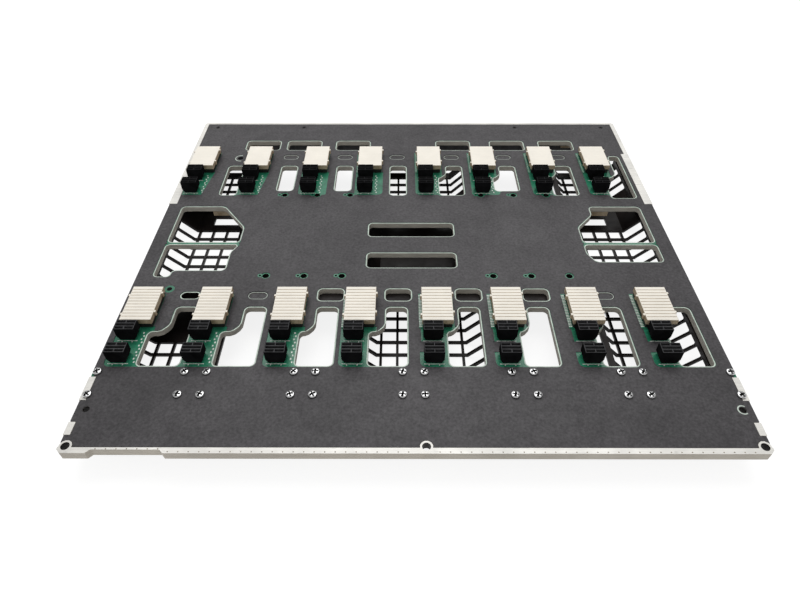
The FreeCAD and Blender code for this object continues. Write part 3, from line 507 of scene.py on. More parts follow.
def block(low, high, bevel):
    """Block with bevelled edges: a corner gives three points, one on each face, pulled in by the bevel."""
    centre, half = halves(low, high)
    signs = np.array([(x, y, z) for x in (-1, 1) for y in (-1, 1) for z in (-1, 1)])
    points = np.concatenate([signs * (half - bevel * (np.arange(3) != axis)) for axis in range(3)]) + centre
    faces = [[corner, corner + 8, corner + 16] for corner in range(8)]
    step = 4 >> np.arange(3)
    for axis in range(3):
        first, second = [other for other in range(3) if other != axis]
        across, along, through = step[first], step[second], step[axis]
        for start in (axis * 8, axis * 8 + through):
            faces.append([start, start + across, start + across + along, start + along])
        for corner in (0, along, across, across + along):
            one, two = first * 8 + corner, second * 8 + corner
            faces.append([one, one + through, two + through, two])
    turned = []
    for face in faces:
        a, b, c = points[face[:3]]
        outward = np.dot(np.cross(b - a, c - a), points[face].mean(0) - centre) > 0
        turned.append(face if outward else face[::-1])
    return points, turned


def welded(mesh):
    """Work copy of a mesh, with points that coincide made one."""
    work = bmesh.new()
    work.from_mesh(mesh)
    bmesh.ops.remove_doubles(work, verts=work.verts, dist=WELD)
    return work


def solid_boxes(name, count):
    """Boxes of a node's separate solids, each found by walking along edges from one of its points."""
    work = welded(NODES[name].data)
    seen, boxes = set(), []
    for vertex in work.verts:
        if vertex in seen:
            continue
        island, stack = [], [vertex]
        seen.add(vertex)
        while stack:
            item = stack.pop()
            island.append(item.co[:])
            fresh = [edge.other_vert(item) for edge in item.link_edges if edge.other_vert(item) not in seen]
            seen.update(fresh)
            stack += fresh
        island = np.array(island)
        boxes.append((island.min(0), island.max(0)))
    work.free()
    if len(boxes) != count:
        raise RuntimeError(f"{name} has {len(boxes)} solids and not {count}")
    return sorted(boxes, key=lambda box: (round(box[0][1], 4), box[0][0]))


def top_loops(name):
    """Edge loops of a solid's top face: edges of its top triangles that no other top triangle shares."""
    mesh = NODES[name].data
    mesh.calc_loop_triangles()
    points = np.zeros(len(mesh.vertices) * 3)
    mesh.vertices.foreach_get("co", points)
    corners = np.zeros(len(mesh.loop_triangles) * 3, np.int64)
    mesh.loop_triangles.foreach_get("vertices", corners)
    spots, index = np.unique(np.round(points.reshape(-1, 3), 6), axis=0, return_inverse=True)
    triangles = index.ravel()[corners].reshape(-1, 3)
    top = (spots[triangles][:, :, 2] > spots[:, 2].max() - 0.01 * MM).all(axis=1)
    edges = triangles[top][:, [0, 1, 1, 2, 2, 0]].reshape(-1, 2)
    shared = set(map(tuple, edges[:, ::-1].tolist()))
    onward = {start: end for start, end in edges.tolist() if (start, end) not in shared}
    loops = []
    while onward:
        start, end = onward.popitem()
        loop = [start]
        while end != start:
            loop.append(end)
            end = onward.pop(end)
        loops.append(spots[loop][:, :2])
    return sorted(loops, key=lambda loop: -np.ptp(loop[:, 0]))


def rounded(loop, radius, share=0.5):
    """Loop with round corners: an arc tangent to both edges takes each corner.

    It has the radius where it fits, and takes no more than the share of the shorter edge."""
    straight, tiny, apart = 1.56, 1e-9, 0.002 * MM
    before, after = np.roll(loop, 1, axis=0) - loop, np.roll(loop, -1, axis=0) - loop
    long_before, long_after = np.linalg.norm(before, axis=1), np.linalg.norm(after, axis=1)
    before, after = before / long_before[:, None], after / long_after[:, None]
    half = np.arccos(np.clip((before * after).sum(axis=1), -1, 1)) / 2
    reach = np.minimum(radius / np.tan(half), share * np.minimum(long_before, long_after))
    reach = np.where(half > straight, 0.0, reach)
    size = reach * np.tan(np.minimum(half, straight))
    middle = before + after
    middle /= np.maximum(np.linalg.norm(middle, axis=1), tiny)[:, None]
    centre = loop + middle * (size / np.maximum(np.sin(half), tiny))[:, None]
    start, end = loop + before * reach[:, None] - centre, loop + after * reach[:, None] - centre
    turn = np.maximum(math.pi - 2 * half, 1e-6)[:, None]
    step = np.linspace(0, 1, CORNER_STEPS)[None, :]
    first, last = np.sin((1 - step) * turn) / np.sin(turn), np.sin(step * turn) / np.sin(turn)
    arcs = centre[:, None] + start[:, None] * first[..., None] + end[:, None] * last[..., None]
    points = arcs.reshape(-1, 2)
    keep = np.linalg.norm(points - np.roll(points, 1, axis=0), axis=1) > apart
    return points[keep]


def sheet(name, loops, low, high):
    """Flat sheet with holes between two heights: a filled flat curve whose first loop is the outline."""
    curve = bpy.data.curves.new(name, "CURVE")
    curve.dimensions = "2D"
    curve.fill_mode = "BOTH"
    curve.extrude = (high - low) / 2 / MM
    for loop in loops:
        spline = curve.splines.new("POLY")
        spline.points.add(len(loop) - 1)
        spots = np.zeros((len(loop), 4))
        spots[:, :2] = loop / MM
        spots[:, 3] = 1.0
        spline.points.foreach_set("co", spots.ravel())
        spline.use_cyclic_u = True
    holder = placed(name, curve)
    bpy.context.view_layer.update()
    mesh = bpy.data.meshes.new_from_object(holder.evaluated_get(bpy.context.evaluated_depsgraph_get()))
    bpy.data.objects.remove(holder)
    bpy.data.curves.remove(curve)
    mesh.transform(Matrix.Translation((0, 0, (low + high) / 2)) @ Matrix.Scale(MM, 4))
    mesh.name = name
    work = welded(mesh)
    bmesh.ops.recalc_face_normals(work, faces=work.faces)
    work.to_mesh(mesh)
    work.free()
    return mesh


def band(lines):
    """Closed band: each of the loops is joined to the next one, and the last to the first."""
    points = np.concatenate([np.column_stack([loop, np.full(len(loop), level)]) for loop, level in lines])
    index = np.arange(len(points)).reshape(len(lines), -1)
    onward = np.roll(index, -1, axis=1)
    cells = np.stack([index, onward, np.roll(onward, -1, axis=0), np.roll(index, -1, axis=0)], axis=-1)
    return points, cells.reshape(-1, 4)


def ring(loop, width, level):
    """Flat thin band along a loop, from the loop to the same loop moved to its left by the width."""
    ahead = np.roll(loop, -1, axis=0) - np.roll(loop, 1, axis=0)
    ahead /= np.linalg.norm(ahead, axis=1)[:, None]
    moved = loop + np.stack([-ahead[:, 1], ahead[:, 0]], axis=1) * width
    return band([(loop, level), (moved, level), (moved, level - FLAT), (loop, level - FLAT)])


def shade_lining(loop, low, high):
    """Dark thin wall of painted shade inside a small hole: from its loop to the loop drawn in a little,
    between two heights.
    """
    centre = loop.mean(axis=0)
    inner = centre + (loop - centre) * LINING_SHARE
    return band([(inner, low), (inner, high), (loop, high), (loop, low)])


def prism(outline, low, high):
    """Flat plate: an outline, counter-clockwise, at two heights."""
    count = len(outline)
    points = np.concatenate([np.column_stack([outline, np.full(count, height)]) for height in (low, high)])
    faces = quads(2, count, closed=True).tolist()
    return points, faces + [np.arange(count)[::-1].tolist(), (np.arange(count) + count).tolist()]


def rectangle(left, right, bottom, top):
    """Corners of a rectangle, counter-clockwise."""
    return np.array(((left, bottom), (right, bottom), (right, top), (left, top)))


def circle(radius, steps):
    """Points of a circle about the origin, counter-clockwise."""
    around = np.linspace(0, 2 * math.pi, steps, endpoint=False)
    return np.column_stack([np.cos(around), np.sin(around)]) * radius


def flat_marks(xs, ys, wide, long, level):
    """Small thin rectangles centred on points, up to a level."""
    corners = rectangle(-wide / 2, wide / 2, -long / 2, long / 2)
    return [prism(corners + spot, level - FLAT, level) for spot in np.column_stack([xs, ys])]


def disc(place, radius, level):
    """Thin disc about a point, up to a level: a circle at two heights."""
    return prism(circle(radius, DISC_STEPS) + place, level - FLAT, level)


def arc(place, outer, inner, start, level):
    """Thin ring about a point, open at its right up to a start angle: its outer arc, then its inner arc."""
    around = np.linspace(start, 2 * math.pi - start, DISC_STEPS)
    line = np.column_stack([np.cos(around), np.sin(around)])
    return prism(np.concatenate([line * outer, line[::-1] * inner]) + place, level - FLAT, level)


def stepped(xs, ys, heights, levels):
    """Closed moulding: a grid of top heights, and its border carried down to (height, inset in x) levels.

    The border itself is lowered by the moulded edge."""
    heights[[0, -1], :] -= shapes().edge
    heights[1:-1, [0, -1]] -= shapes().edge
    rows, columns = len(ys), len(xs)
    grid_x, grid_y = np.meshgrid(xs, ys)
    top = np.stack([grid_x, grid_y, heights], axis=-1).reshape(-1, 3)
    index = np.arange(rows * columns).reshape(rows, columns)
    border = np.concatenate([index[0, :-1], index[:-1, -1], index[-1, :0:-1], index[:0:-1, 0]])
    walls = []
    for height, inset in levels:
        line = top[border].copy()
        line[:, 0] *= 1 - inset / np.abs(xs).max()
        line[:, 2] = height
        walls.append(line)
    count = len(border)
    lines = [border] + [np.arange(count) + len(top) + count * level for level in range(len(levels))]
    faces = quads(rows, columns).tolist()
    for upper, lower in zip(lines[:-1], lines[1:]):
        faces += np.stack([lower, np.roll(lower, -1), np.roll(upper, -1), upper], axis=1).tolist()
    faces.append(lines[-1][::-1].tolist())
    return np.concatenate([top] + walls), faces


def ribbed_block(low, high, relief):
    """Signal connector: ribs across its top, a foot set back under it and two small ears at each side.

    The top is a height grid: a groove at every rib pitch along y, ended by the inset along x. The relief is
    a factor on the grooves' depth and on their painted shade. The third item holds painted shade for points
    in a groove and painted shadow for the foot under the block."""
    s = shapes()
    centre, half = halves(low, high)
    tall = high[2] - low[2]
    middles = (np.arange(s.rib_count) - (s.rib_count - 1) / 2) * s.rib_pitch
    inner = s.rib_groove / 2
    offsets = np.array((-inner - GROOVE_SLOPE, -inner, inner, inner + GROOVE_SLOPE))
    ys = np.concatenate([(-half[1], -half[1] + s.edge), (middles[:, None] + offsets).ravel(),
                         (half[1] - s.edge, half[1])])
    ends = half[0] - np.array((0.0, s.edge, s.rib_inset, s.rib_inset + GROOVE_SLOPE))
    xs = np.concatenate([-ends, ends[::-1]])
    along, across = np.pad(np.tile((0, 1, 1, 0), s.rib_count), 2), np.pad((1, 1), 3)
    groove = along[:, None] * across
    foot = half[:2] - FOOT_RECESS
    parts = [stepped(xs, ys, tall - s.rib_depth * relief * groove, [(FOOT_HEIGHT, 0.0)]),
             block((*-foot, 0), (*foot, FOOT_HEIGHT), FOOT_BEVEL)]
    for side_x in (-1, 1):
        for side_y in (-1, 1):
            ear = np.array((side_x * (half[0] + EAR_OUT), side_y * EAR_PLACE + side_x * EAR_SHIFT))
            low_end, high_end = (*(ear - EAR_HALF), FOOT_HEIGHT), (*(ear + EAR_HALF), tall - EAR_DROP)
            parts.append(block(low_end, high_end, EAR_BEVEL))
    points, faces = gather(parts)
    # Painted shade in the grooves, and painted shadow on the foot under the block.
    shade, gap_shadow = np.zeros(len(points)), np.zeros(len(points))
    shade[:groove.size] = groove.ravel() * GROOVE_SHADE * relief
    body, base = len(parts[0][0]), len(parts[1][0])
    gap_shadow[body:body + base] = 1.0
    return points + (centre[0], centre[1], low[2]), faces, {"groove": shade, "gap_shadow": gap_shadow}


def cavity_block(low, high, paleness):
    """Power connector: two rows of two cavities with a wide one between them, and lower walls that draw in.

    The top is a height grid whose lines lie on both sides of every cavity wall. The argument after the box
    sets how strong the painted highlights on its edges are, and the second item holds the painted highlight
    of each point."""
    s = shapes()
    centre, half = halves(low, high)
    tall = high[2] - low[2]

    def lines(reach, count):
        """Grid lines across a count of cavities: the bevels, and both ends of each wall's slope."""
        wide = (2 * reach - 2 * s.power_wall - (count - 1) * s.power_rib) / count
        starts = -reach + s.power_wall + np.arange(count) * (wide + s.power_rib)
        edges = starts[:, None] + (0.0, CAVITY_SLOPE, wide - CAVITY_SLOPE, wide)
        return np.concatenate([(-reach, -reach + s.edge), edges.ravel(), (reach - s.edge, reach)])

    xs, ys = lines(half[0], 2), lines(half[1], 3)
    cavity, ridge = (0, 1, 1, 0), (0, 0, 0, 0)
    two, one = np.pad(cavity * 2, 2), np.pad((0, 1, 1, 1, 1, 1, 1, 0), 2)
    outer, middle = np.pad(cavity + ridge + cavity, 2), np.pad(cavity, 6)
    hollow = outer[:, None] * two + middle[:, None] * one
    levels = [(WALL_STEP, 0.0), (0.0, WALL_INSET)]
    points, faces = stepped(xs, ys, tall - s.power_depth * hollow, levels)
    crest_highlight = np.zeros(len(points))
    # Painted highlight on the tops of the walls, fainter in the far row.
    crest_highlight[:hollow.size] = np.pad(1.0 - hollow[1:-1, 1:-1], 1).ravel() * paleness
    return (points + (centre[0], centre[1], low[2]), faces), crest_highlight


def pan_heads(boxes, height, turns, level):
    """Pan-head screws in boxes: a height over circles about the axis, with a cross recess that is turned.

    The radius is that of the first box. The third array is painted shade: 1 in the recess and under the
    head's edge."""
    radius = (boxes[0][1][0] - boxes[0][0][0]) / 2
    # Shares of the radius, then of the height.
    arm_half, arm_end, edge_start = 0.24, 0.72, 0.8
    droop, rim, recess = 0.3, 0.55, 0.85
    share = np.array((0.0, 0.12, 0.2, 0.34, 0.48, 0.54, 0.6, 0.78, 0.92, 1.0, 1.0))
    around = np.linspace(0, 2 * math.pi, HEAD_STEPS, endpoint=False)
    ring_share, angle = np.meshgrid(share, around, indexing="ij")
    dome = height * (1 - droop * ring_share ** 3)
    dome[-2] = height * rim
    dome[-1] = 0.0
    arm = np.minimum(np.abs(np.sin(angle)), np.abs(np.cos(angle)) * 1.8) * ring_share
    cut = np.clip((arm_half - arm) / 0.05, 0, 1) * np.clip((arm_end - ring_share) / 0.06, 0, 1)
    inside = ring_share < edge_start
    dome = np.where(inside, dome - recess * height * cut, dome)
    faces = quads(len(share), HEAD_STEPS, closed=True).tolist()
    faces.append((np.arange(HEAD_STEPS)[::-1] + (len(share) - 1) * HEAD_STEPS).tolist())
    parts = []
    for (low, high), turn in zip(boxes, turns):
        x, y = ((low + high) / 2)[:2]
        xs, ys = radius * ring_share * np.cos(angle + turn), radius * ring_share * np.sin(angle + turn)
        parts.append((np.stack([x + xs, y + ys, level + dome], axis=-1).reshape(-1, 3), faces))
    # Painted shade in the recess and under the head's edge.
    screw_shade = np.where(inside, np.clip(cut * 1.6, 0, 1), np.clip((0.5 - dome / height) * 3, 0, 1))
    return *gather(parts), np.tile(screw_shade.ravel(), len(parts))


def on_board(xs, ys, holes):
    """True for points with room round them on the board.

    No corner of the square about such a point lies in a hole, by the even-odd rule."""
    corners = rectangle(-TICK_ROOM, TICK_ROOM, -TICK_ROOM, TICK_ROOM)
    spots = np.column_stack([xs, ys])[:, None] + corners
    x, y = spots[..., 0, None], spots[..., 1, None]
    keep = np.ones(len(xs), bool)
    for hole in holes:
        ahead = np.roll(hole, -1, axis=0)
        rise = np.where(ahead[:, 1] == hole[:, 1], 1.0, ahead[:, 1] - hole[:, 1])
        cross = hole[:, 0] + (y - hole[:, 1]) * (ahead[:, 0] - hole[:, 0]) / rise
        crossed = ((hole[:, 1] > y) != (ahead[:, 1] > y)) & (x < cross)
        keep &= (crossed.sum(axis=-1) % 2 == 0).all(axis=1)
    return keep


def board_strips(level):
    """Strips of bare board along the left side of the signal connectors."""
    parts = []
    for number in BAYS:
        low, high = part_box(f"front_signal_connector_{number:02d}")
        x, y = low.x - STRIP_WIDTH / 2 + STRIP_UNDER, (low.y + high.y) / 2
        parts += flat_marks([x], [y], STRIP_WIDTH, high.y - low.y + STRIP_EXTRA, level)
    return parts


def board_marks(level, film_level, holes):
    """Pads beside the signal connectors, and printed lines and ticks round the power connectors."""
    parts = []
    for number in BAYS:
        low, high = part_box(f"front_signal_connector_{number:02d}")
        ys = np.arange(low.y + PAD_START, high.y - PAD_STOP, PAD_PITCH)
        pad = NEAR_PAD if high.y < 0 else FAR_PAD
        parts += flat_marks(np.full(len(ys), low.x - PAD_OUT), ys, *pad, film_level)
        low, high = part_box(f"front_power_connectors_{number:02d}")
        ys = np.arange(low.y + TICK_START, high.y, TICK_PITCH)
        xs = high.x + TICK_OUT + TICK_SWAY * np.cos(math.pi * np.arange(len(ys)))
        keep = on_board(xs, ys, holes)
        parts += flat_marks(xs[keep], ys[keep], *SIDE_TICK, level)
        for one_low, one_high in solid_boxes(f"front_power_connectors_{number:02d}", 2):
            middle, wide = (one_low[0] + one_high[0]) / 2, one_high[0] - one_low[0]
            parts += flat_marks([middle], [one_low[1] - LINE_BELOW], wide, LINE_WIDTH, level)
            xs = np.array((one_low[0] + END_TICK_IN, one_high[0] - END_TICK_IN))
            parts += flat_marks(xs, np.full(2, one_low[1] - END_TICK_BELOW), *END_TICK, level)
    return parts


def hole_marks(level):
    """Green lands, pale rings and dark bores of the small round holes that the solids leave out. The bores
    are discs of painted shade, and each ring leaves out its right side as painted shade.
    """
    upper = level + LAYER
    green = [disc(LONE_HOLE, LONE_LAND, level)]
    pale = [arc(RING_HOLE, RING_OUTER, RING_INNER, RING_GAP, level),
            arc(EDGE_HOLE, EDGE_OUTER, EDGE_INNER, EDGE_GAP, level)]
    dark = [disc(LONE_HOLE, LONE_BORE, upper), disc(RING_HOLE, RING_BORE, level)]
    pins = [((low + high) / 2)[:2] for low, high in solid_boxes("io_guide_pins", 12)]
    outermost = max(abs(pin[0]) for pin in pins) - PIN_ROOM
    for pin in pins:
        if abs(pin[0]) < outermost:
            green.append(disc(pin + PIN_HOLE_SHIFT, PIN_LAND, level))
            dark.append(disc(pin + PIN_HOLE_SHIFT, PIN_BORE, upper))
    return green, pale, dark


class MIDPLANE_OT_board(bpy.types.Operator):
    """Circuit board with round-cornered openings, bare edges, pads and printed marks"""

    bl_idname = "midplane.board"
    bl_label = "Circuit board"

    def execute(self, context):
        s = shapes()
        low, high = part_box("midplane_board")
        outline, *holes = top_loops("midplane_board")
        holes = [rounded(hole, s.opening_radius) for hole in holes]
        mesh = sheet("board_plate", [rounded(outline, s.outline_radius)] + holes, low.z, high.z)
        green, bare = board_finish(), bare_finish()
        put_mesh(mesh, green, ["midplane_board"])
        wide = [loop for loop in holes if np.ptp(loop[:, 1]) >= SMALL_HOLE]
        small = [loop for loop in holes if np.ptp(loop[:, 1]) < SMALL_HOLE]
        round_holes = [loop for loop in small if np.ptp(loop[:, 0]) <= SMALL_HOLE]
        slots = [loop for loop in small if np.ptp(loop[:, 0]) > SMALL_HOLE]
        # The slot nearest to the near left corner is open; the others are covered.
        first = min(slots, key=lambda loop: loop[:, 0].min() + loop[:, 1].min())
        slots = [loop for loop in slots if loop is not first]
        level, film_level = high.z + LIFT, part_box("front_insulator")[1].z + LIFT
        covers = [prism(loop[::-1], high.z - COVER_FOOT, high.z - COVER_TOP) for loop in slots]
        covers += [ring(loop, SLOT_FILM, level) for loop in slots]
        # Dark bores of painted shade, and pale rings left open on their shaded right side.
        lands, rings, bore_shades = hole_marks(film_level)
        rims = [ring(loop, s.bare_width, level) for loop in wide + [first]]
        # Painted shade: dark walls inside the round holes and the open slot.
        shade_linings = [shade_lining(loop, low.z, high.z - LINING_DROP) for loop in round_holes + [first]]
        laminate = "board_laminate"
        for name, parts, finish, slot in (
            ("bare_edges", rims, bare, laminate),
            ("hole_shade_linings", shade_linings, grille_finish(), laminate),
            ("slot_covers", covers, film_finish(), "insulating_film"),
            ("slot_edges", [ring(loop, SLOT_BARE, level + LAYER) for loop in slots], bare, laminate),
            ("board_strips", board_strips(film_level), green, laminate),
            ("board_marks", board_marks(level, film_level + LIFT, holes), marks_finish(), laminate),
            ("hole_lands", lands, green, laminate),
            ("hole_edges", rings, bare, laminate),
            ("hole_bore_shades", bore_shades, black_finish(), laminate),
        ):
            put(name, *gather(parts), finish, slot)
        return {"FINISHED"}


def film_patches():
    """Outlines of the film's tongues beside and between connectors: sides of connectors plus offsets."""
    patches = []
    for number in BAYS:
        low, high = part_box(f"front_signal_connector_{number:02d}")
        (near_low, near_high), (far_low, _) = solid_boxes(f"front_power_connectors_{number:02d}", 2)
        # Painted shadow: film colour beside the right wall of the left bays' signal connectors.
        if high.x < 0:
            patches.append(rectangle(*SHADOW_TONGUE + (high.x, high.x, low.y, high.y)))
        elif high.y < 0:
            patches.append(rectangle(*BETWEEN_TONGUE + (near_low[0], near_high[0], near_high[1], far_low[1])))
            patches.append(rectangle(*BLOCK_TONGUE + (far_low[0], far_low[0], far_low[1], low.y)))
        if low.y > 0 and high.x < CORNER_BAYS:
            slanted = rectangle(*CORNER_TONGUE + (high.x, high.x, near_low[1], low.y))
            slanted[3, 0] = high.x + CORNER_TOP_LEFT
            patches.append(slanted)
    return patches


class MIDPLANE_OT_film(bpy.types.Operator):
    """Insulating film with round-cornered windows"""

    bl_idname = "midplane.film"
    bl_label = "Insulating film"

    def execute(self, context):
        s = shapes()
        low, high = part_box("front_insulator")
        outline, *holes = top_loops("front_insulator")
        loops = [rounded(outline, s.outline_radius)]
        loops += [rounded(hole, s.film_radius, FILM_SHARE) for hole in holes]
        finish = film_finish()
        mesh = sheet("film_sheet", loops, low.z, high.z)
        put_mesh(mesh, finish, ["front_insulator"])
        patches = [prism(patch, low.z + LIFT, high.z - LAYER) for patch in film_patches()]
        put("film_tongues", *gather(patches), finish, "insulating_film")
        return {"FINISHED"}


class MIDPLANE_OT_carrier_frame(bpy.types.Operator):
    """Carrier frame with softened edges, bores lined with painted shade and a row of dents"""

    bl_idname = "midplane.carrier_frame"
    bl_label = "Carrier frame"

    def execute(self, context):
        mesh = bpy.data.meshes.new("frame_shell")
        work = welded(NODES["carrier_frame"].data)
        bmesh.ops.dissolve_limit(work, angle_limit=math.radians(0.5), verts=work.verts, edges=work.edges)
        work.to_mesh(mesh)
        work.free()
        piece = put_mesh(mesh, frame_finish(), ["carrier_frame"])
        bevel = piece.modifiers.new("soft_edges", "BEVEL")
        bevel.width = FRAME_BEVEL
        bevel.segments = 2
        bevel.limit_method = "ANGLE"
        low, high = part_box("carrier_frame")
        hole = circle(RIM_HOLE_RADIUS, HEAD_STEPS)[::-1]
        foot, top = low.z + LINING_DROP, high.z - FRAME_BEVEL
        # Painted shade: dark walls inside the rim's holes.
        bore_shades = [shade_lining(hole + (x, RIM_HOLE_LINE), foot, top) for x in RIM_HOLES]
        put("rim_bore_shades", *gather(bore_shades), grille_finish(), "frame_metal")
        xs = np.arange(DENT_FIRST, DENT_LAST, DENT_PITCH)
        xs = xs[np.abs(xs - RIM_HOLES[1]) > DENT_ROOM]
        ys = np.where(xs < TAB_END, TAB_DENT_LINE, DENT_LINE)
        dents = [disc(place, DENT_RADIUS, high.z + LAYER) for place in np.column_stack([xs, ys])]
        put("rim_dents", *gather(dents), dent_finish(), "frame_metal")
        return {"FINISHED"}


class MIDPLANE_OT_signal_connectors(bpy.types.Operator):
    """Ribbed ivory signal connectors of the blade bays"""

    bl_idname = "midplane.signal_connectors"
    bl_label = "Signal connectors"

    def execute(self, context):
        finish = ivory_finish()
        for number in BAYS:
            node = f"front_signal_connector_{number:02d}"
            low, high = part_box(node)
            points, faces, values = ribbed_block(low, high, 1.0 if high.y < 0 else FAR_RELIEF)
            put(f"signal_block_{number:02d}", points, faces, finish, "ivory_plastic", [node], values)
        return {"FINISHED"}


class MIDPLANE_OT_power_connectors(bpy.types.Operator):
    """Black power connectors of the blade bays"""

    bl_idname = "midplane.power_connectors"
    bl_label = "Power connectors"

    def execute(self, context):
        finish = black_finish()
        for number in BAYS:
            node = f"front_power_connectors_{number:02d}"
            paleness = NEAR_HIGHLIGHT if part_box(node)[1].y < 0 else FAR_HIGHLIGHT
            blocks = [cavity_block(*box, paleness) for box in solid_boxes(node, 2)]
            points, faces = gather([shell for shell, crest_highlight in blocks])
            values = {"crest_highlight": np.concatenate([crest_highlight for shell, crest_highlight in blocks])}
            put(f"power_blocks_{number:02d}", points, faces, finish, "connector_black", [node], values)
        return {"FINISHED"}


class MIDPLANE_OT_screws(bpy.types.Operator):
    """Bright screws of the power-supply connectors and dark screws at the far edge"""

    bl_idname = "midplane.screws"
    bl_label = "Screws"

    def execute(self, context):
        boxes = solid_boxes("power_connector_screws", 24)
        low, high = boxes[0]
        turns = np.random.default_rng(TURN_SEED).uniform(0, math.pi / 2, len(boxes))
        points, faces, screw_shade = pan_heads(boxes, high[2] - low[2], turns, low[2])
        bright = steel_finish("bright_screw", colours().steel, 0.2)
        put("supply_screw_heads", points, faces, bright, "screw_steel", ["power_connector_screws"],
            {"screw_shade": screw_shade})
        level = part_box("midplane_board")[1].z
        points, faces, screw_shade = pan_heads(solid_boxes("frame_screws", 4), EDGE_HEAD, turns, level)
        dark = steel_finish("dark_screw", colours().dark_steel, 0.4)
        put("edge_screw_heads", points, faces, dark, "dark_screw", ["frame_screws"], {"screw_shade": screw_shade})
        return {"FINISHED"}


class MIDPLANE_OT_grilles(bpy.types.Operator):
    """Finish of the fan inlet grilles, whose bars turn up at both sides"""

    bl_idname = "midplane.grilles"
    bl_label = "Fan grilles"

    def execute(self, context):
        finish = grille_finish()
        for side in ("left", "centre", "right"):
            coat(NODES[f"fan_grille_{side}"].data, finish)
        return {"FINISHED"}


class MIDPLANE_OT_rear_connectors(bpy.types.Operator):
    """Finishes of the connectors, guide pins, backing sheet and seal bar on the back"""

    bl_idname = "midplane.rear_connectors"
    bl_label = "Rear connectors"

    def execute(self, context):
        black, ivory = black_finish(), ivory_finish()
        pins = steel_finish("guide_pin_steel", colours().steel, 0.25)
        finishes = {"rear_power": black, "rear_io": black, "rear_fan": ivory, "io_guide": pins,
                    "backing_sheet": grille_finish(), "rear_seal": rubber_finish()}
        for name, node in NODES.items():
            for start, finish in finishes.items():
                if name.startswith(start):
                    coat(node.data, finish)
        return {"FINISHED"}


def floor_finish():
    """White floor: it keeps the shadow, looks white to the camera and can be seen through from below."""
    material = bpy.data.materials.new("white_floor")
    material.use_nodes = True
    nodes, links = material.node_tree.nodes, material.node_tree.links
    nodes.clear()

    def node(kind, *sources):
        """New node whose first inputs are linked to outputs."""
        item = nodes.new(f"ShaderNode{kind}")
        for source, socket in zip(sources, item.inputs):
            links.new(source, socket)
        return item

    diffuse = node("BsdfDiffuse")
    diffuse.inputs["Color"].default_value = (FLOOR_GREY, FLOOR_GREY, FLOOR_GREY, 1.0)
    glow = node("Emission")
    glow.inputs["Strength"].default_value = FLOOR_GLOW
    rays = node("LightPath").outputs
    seen = rays["Is Camera Ray"]
    for kind in ("Is Glossy Ray", "Is Transmission Ray"):
        either = node("Math", seen, rays[kind])
        either.operation = "MAXIMUM"
        seen = either.outputs[0]
    both = node("AddShader", diffuse.outputs[0], glow.outputs[0])
    choice = node("MixShader", seen, diffuse.outputs[0], both.outputs[0])
    behind = node("NewGeometry").outputs["Backfacing"]
    one_sided = node("MixShader", behind, choice.outputs[0], node("BsdfTransparent").outputs[0])
    node("OutputMaterial", one_sided.outputs[0])
    return material


def sky():
    """Even pale light from all round, white where the camera sees it."""
    world = bpy.data.worlds.new("studio")
    bpy.context.scene.world = world
    world.use_nodes = True
    nodes, links = world.node_tree.nodes, world.node_tree.links
    background = nodes["Background"]
    background.inputs["Color"].default_value = (1.0, 1.0, 1.0, 1.0)
    path = nodes.new("ShaderNodeLightPath")
    strength = nodes.new("ShaderNodeMapRange")
    strength.inputs["To Min"].default_value = SKY_LIGHT
    links.new(path.outputs["Is Camera Ray"], strength.inputs["Value"])
    links.new(strength.outputs["Result"], background.inputs["Strength"])


def lamp(name, place, width, power):
    """Square soft light that faces the origin."""
    light = bpy.data.lights.new(name, "AREA")
    light.size = width
    light.energy = power
    item = placed(name, light)
    item.location = place
    item.rotation_mode = "QUATERNION"
    item.rotation_quaternion = Vector(np.zeros(3) - place).to_track_quat("-Z", "Y")


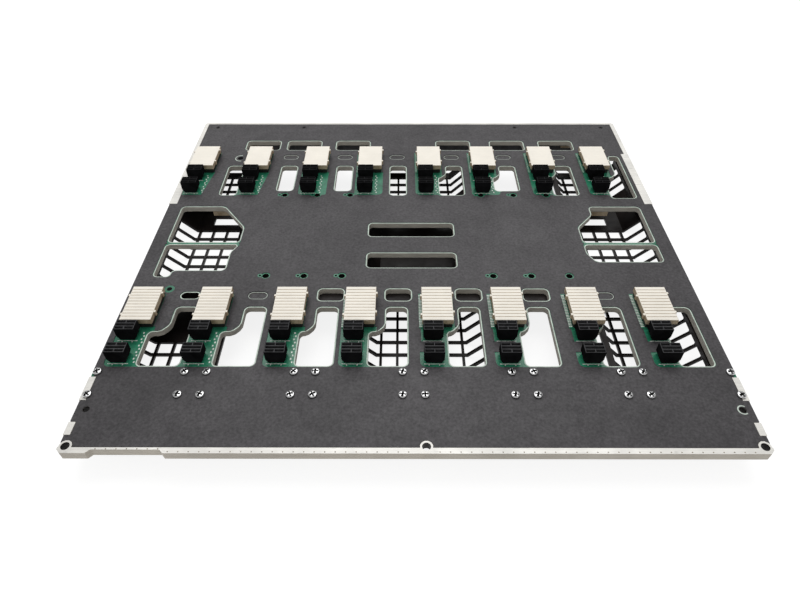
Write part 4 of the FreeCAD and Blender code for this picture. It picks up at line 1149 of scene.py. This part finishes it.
class MIDPLANE_OT_stage(bpy.types.Operator):
    """Pale floor, soft light and the camera"""

    bl_idname = "midplane.stage"
    bl_label = "Stage"

    def execute(self, context):
        mesh = bpy.data.meshes.new("floor")
        corners = rectangle(-FLOOR_REACH, FLOOR_REACH, -FLOOR_REACH, FLOOR_REACH).tolist()
        mesh.from_pydata([(x, y, -FLOOR_DROP) for x, y in corners], [], [(0, 1, 2, 3)])
        floor = placed("floor", mesh)
        coat(mesh, floor_finish())
        sky()
        for light in LIGHTS:
            lamp(*light)
        camera = bpy.data.cameras.new("camera")
        camera.lens = CAMERA_LENS
        camera.sensor_width = CAMERA_SENSOR
        camera.clip_start = CAMERA_CLIP
        view = placed("camera", camera)
        turn = Matrix.Rotation(CAMERA_YAW, 4, "Z") @ Matrix.Rotation(math.pi / 2 - CAMERA_PITCH, 4, "X")
        roll = Matrix.Rotation(-CAMERA_ROLL, 4, "Z")
        view.matrix_world = Matrix.Translation(CAMERA_PLACE) @ turn @ roll
        context.scene.camera = view
        context.scene.view_settings.view_transform = "Standard"
        return {"FINISHED"}


OPERATORS = (
    MIDPLANE_OT_board, MIDPLANE_OT_film, MIDPLANE_OT_carrier_frame, MIDPLANE_OT_signal_connectors,
    MIDPLANE_OT_power_connectors, MIDPLANE_OT_screws, MIDPLANE_OT_grilles, MIDPLANE_OT_rear_connectors,
    MIDPLANE_OT_stage,
)


class MIDPLANE_PT_panel(bpy.types.Panel):
    """Pieces and settings of the midplane"""

    bl_idname = "MIDPLANE_PT_panel"
    bl_label = "Midplane"
    bl_space_type = "VIEW_3D"
    bl_region_type = "UI"
    bl_category = "Midplane"

    def draw(self, context):
        for operator in OPERATORS:
            self.layout.operator(operator.bl_idname)
        for group in (context.scene.midplane.shapes, context.scene.midplane.colours):
            box = self.layout.box()
            for key in group.bl_rna.properties.keys():
                if key not in ("rna_type", "name"):
                    box.prop(group, key)


CLASSES = (MidplaneShapes, MidplaneColours, MidplaneSettings, *OPERATORS, MIDPLANE_PT_panel)


def register():
    """Register the classes and the scene's settings."""
    for item in CLASSES:
        bpy.utils.register_class(item)
    bpy.types.Scene.midplane = PointerProperty(type=MidplaneSettings)


def unregister():
    """Remove the settings and the classes."""
    del bpy.types.Scene.midplane
    for item in reversed(CLASSES):
        bpy.utils.unregister_class(item)


def main():
    """Build every piece and the stage."""
    register()
    bpy.ops.midplane.board()
    bpy.ops.midplane.film()
    bpy.ops.midplane.carrier_frame()
    bpy.ops.midplane.signal_connectors()
    bpy.ops.midplane.power_connectors()
    bpy.ops.midplane.screws()
    bpy.ops.midplane.grilles()
    bpy.ops.midplane.rear_connectors()
    bpy.ops.midplane.stage()


if __name__ == "__main__":
    main()
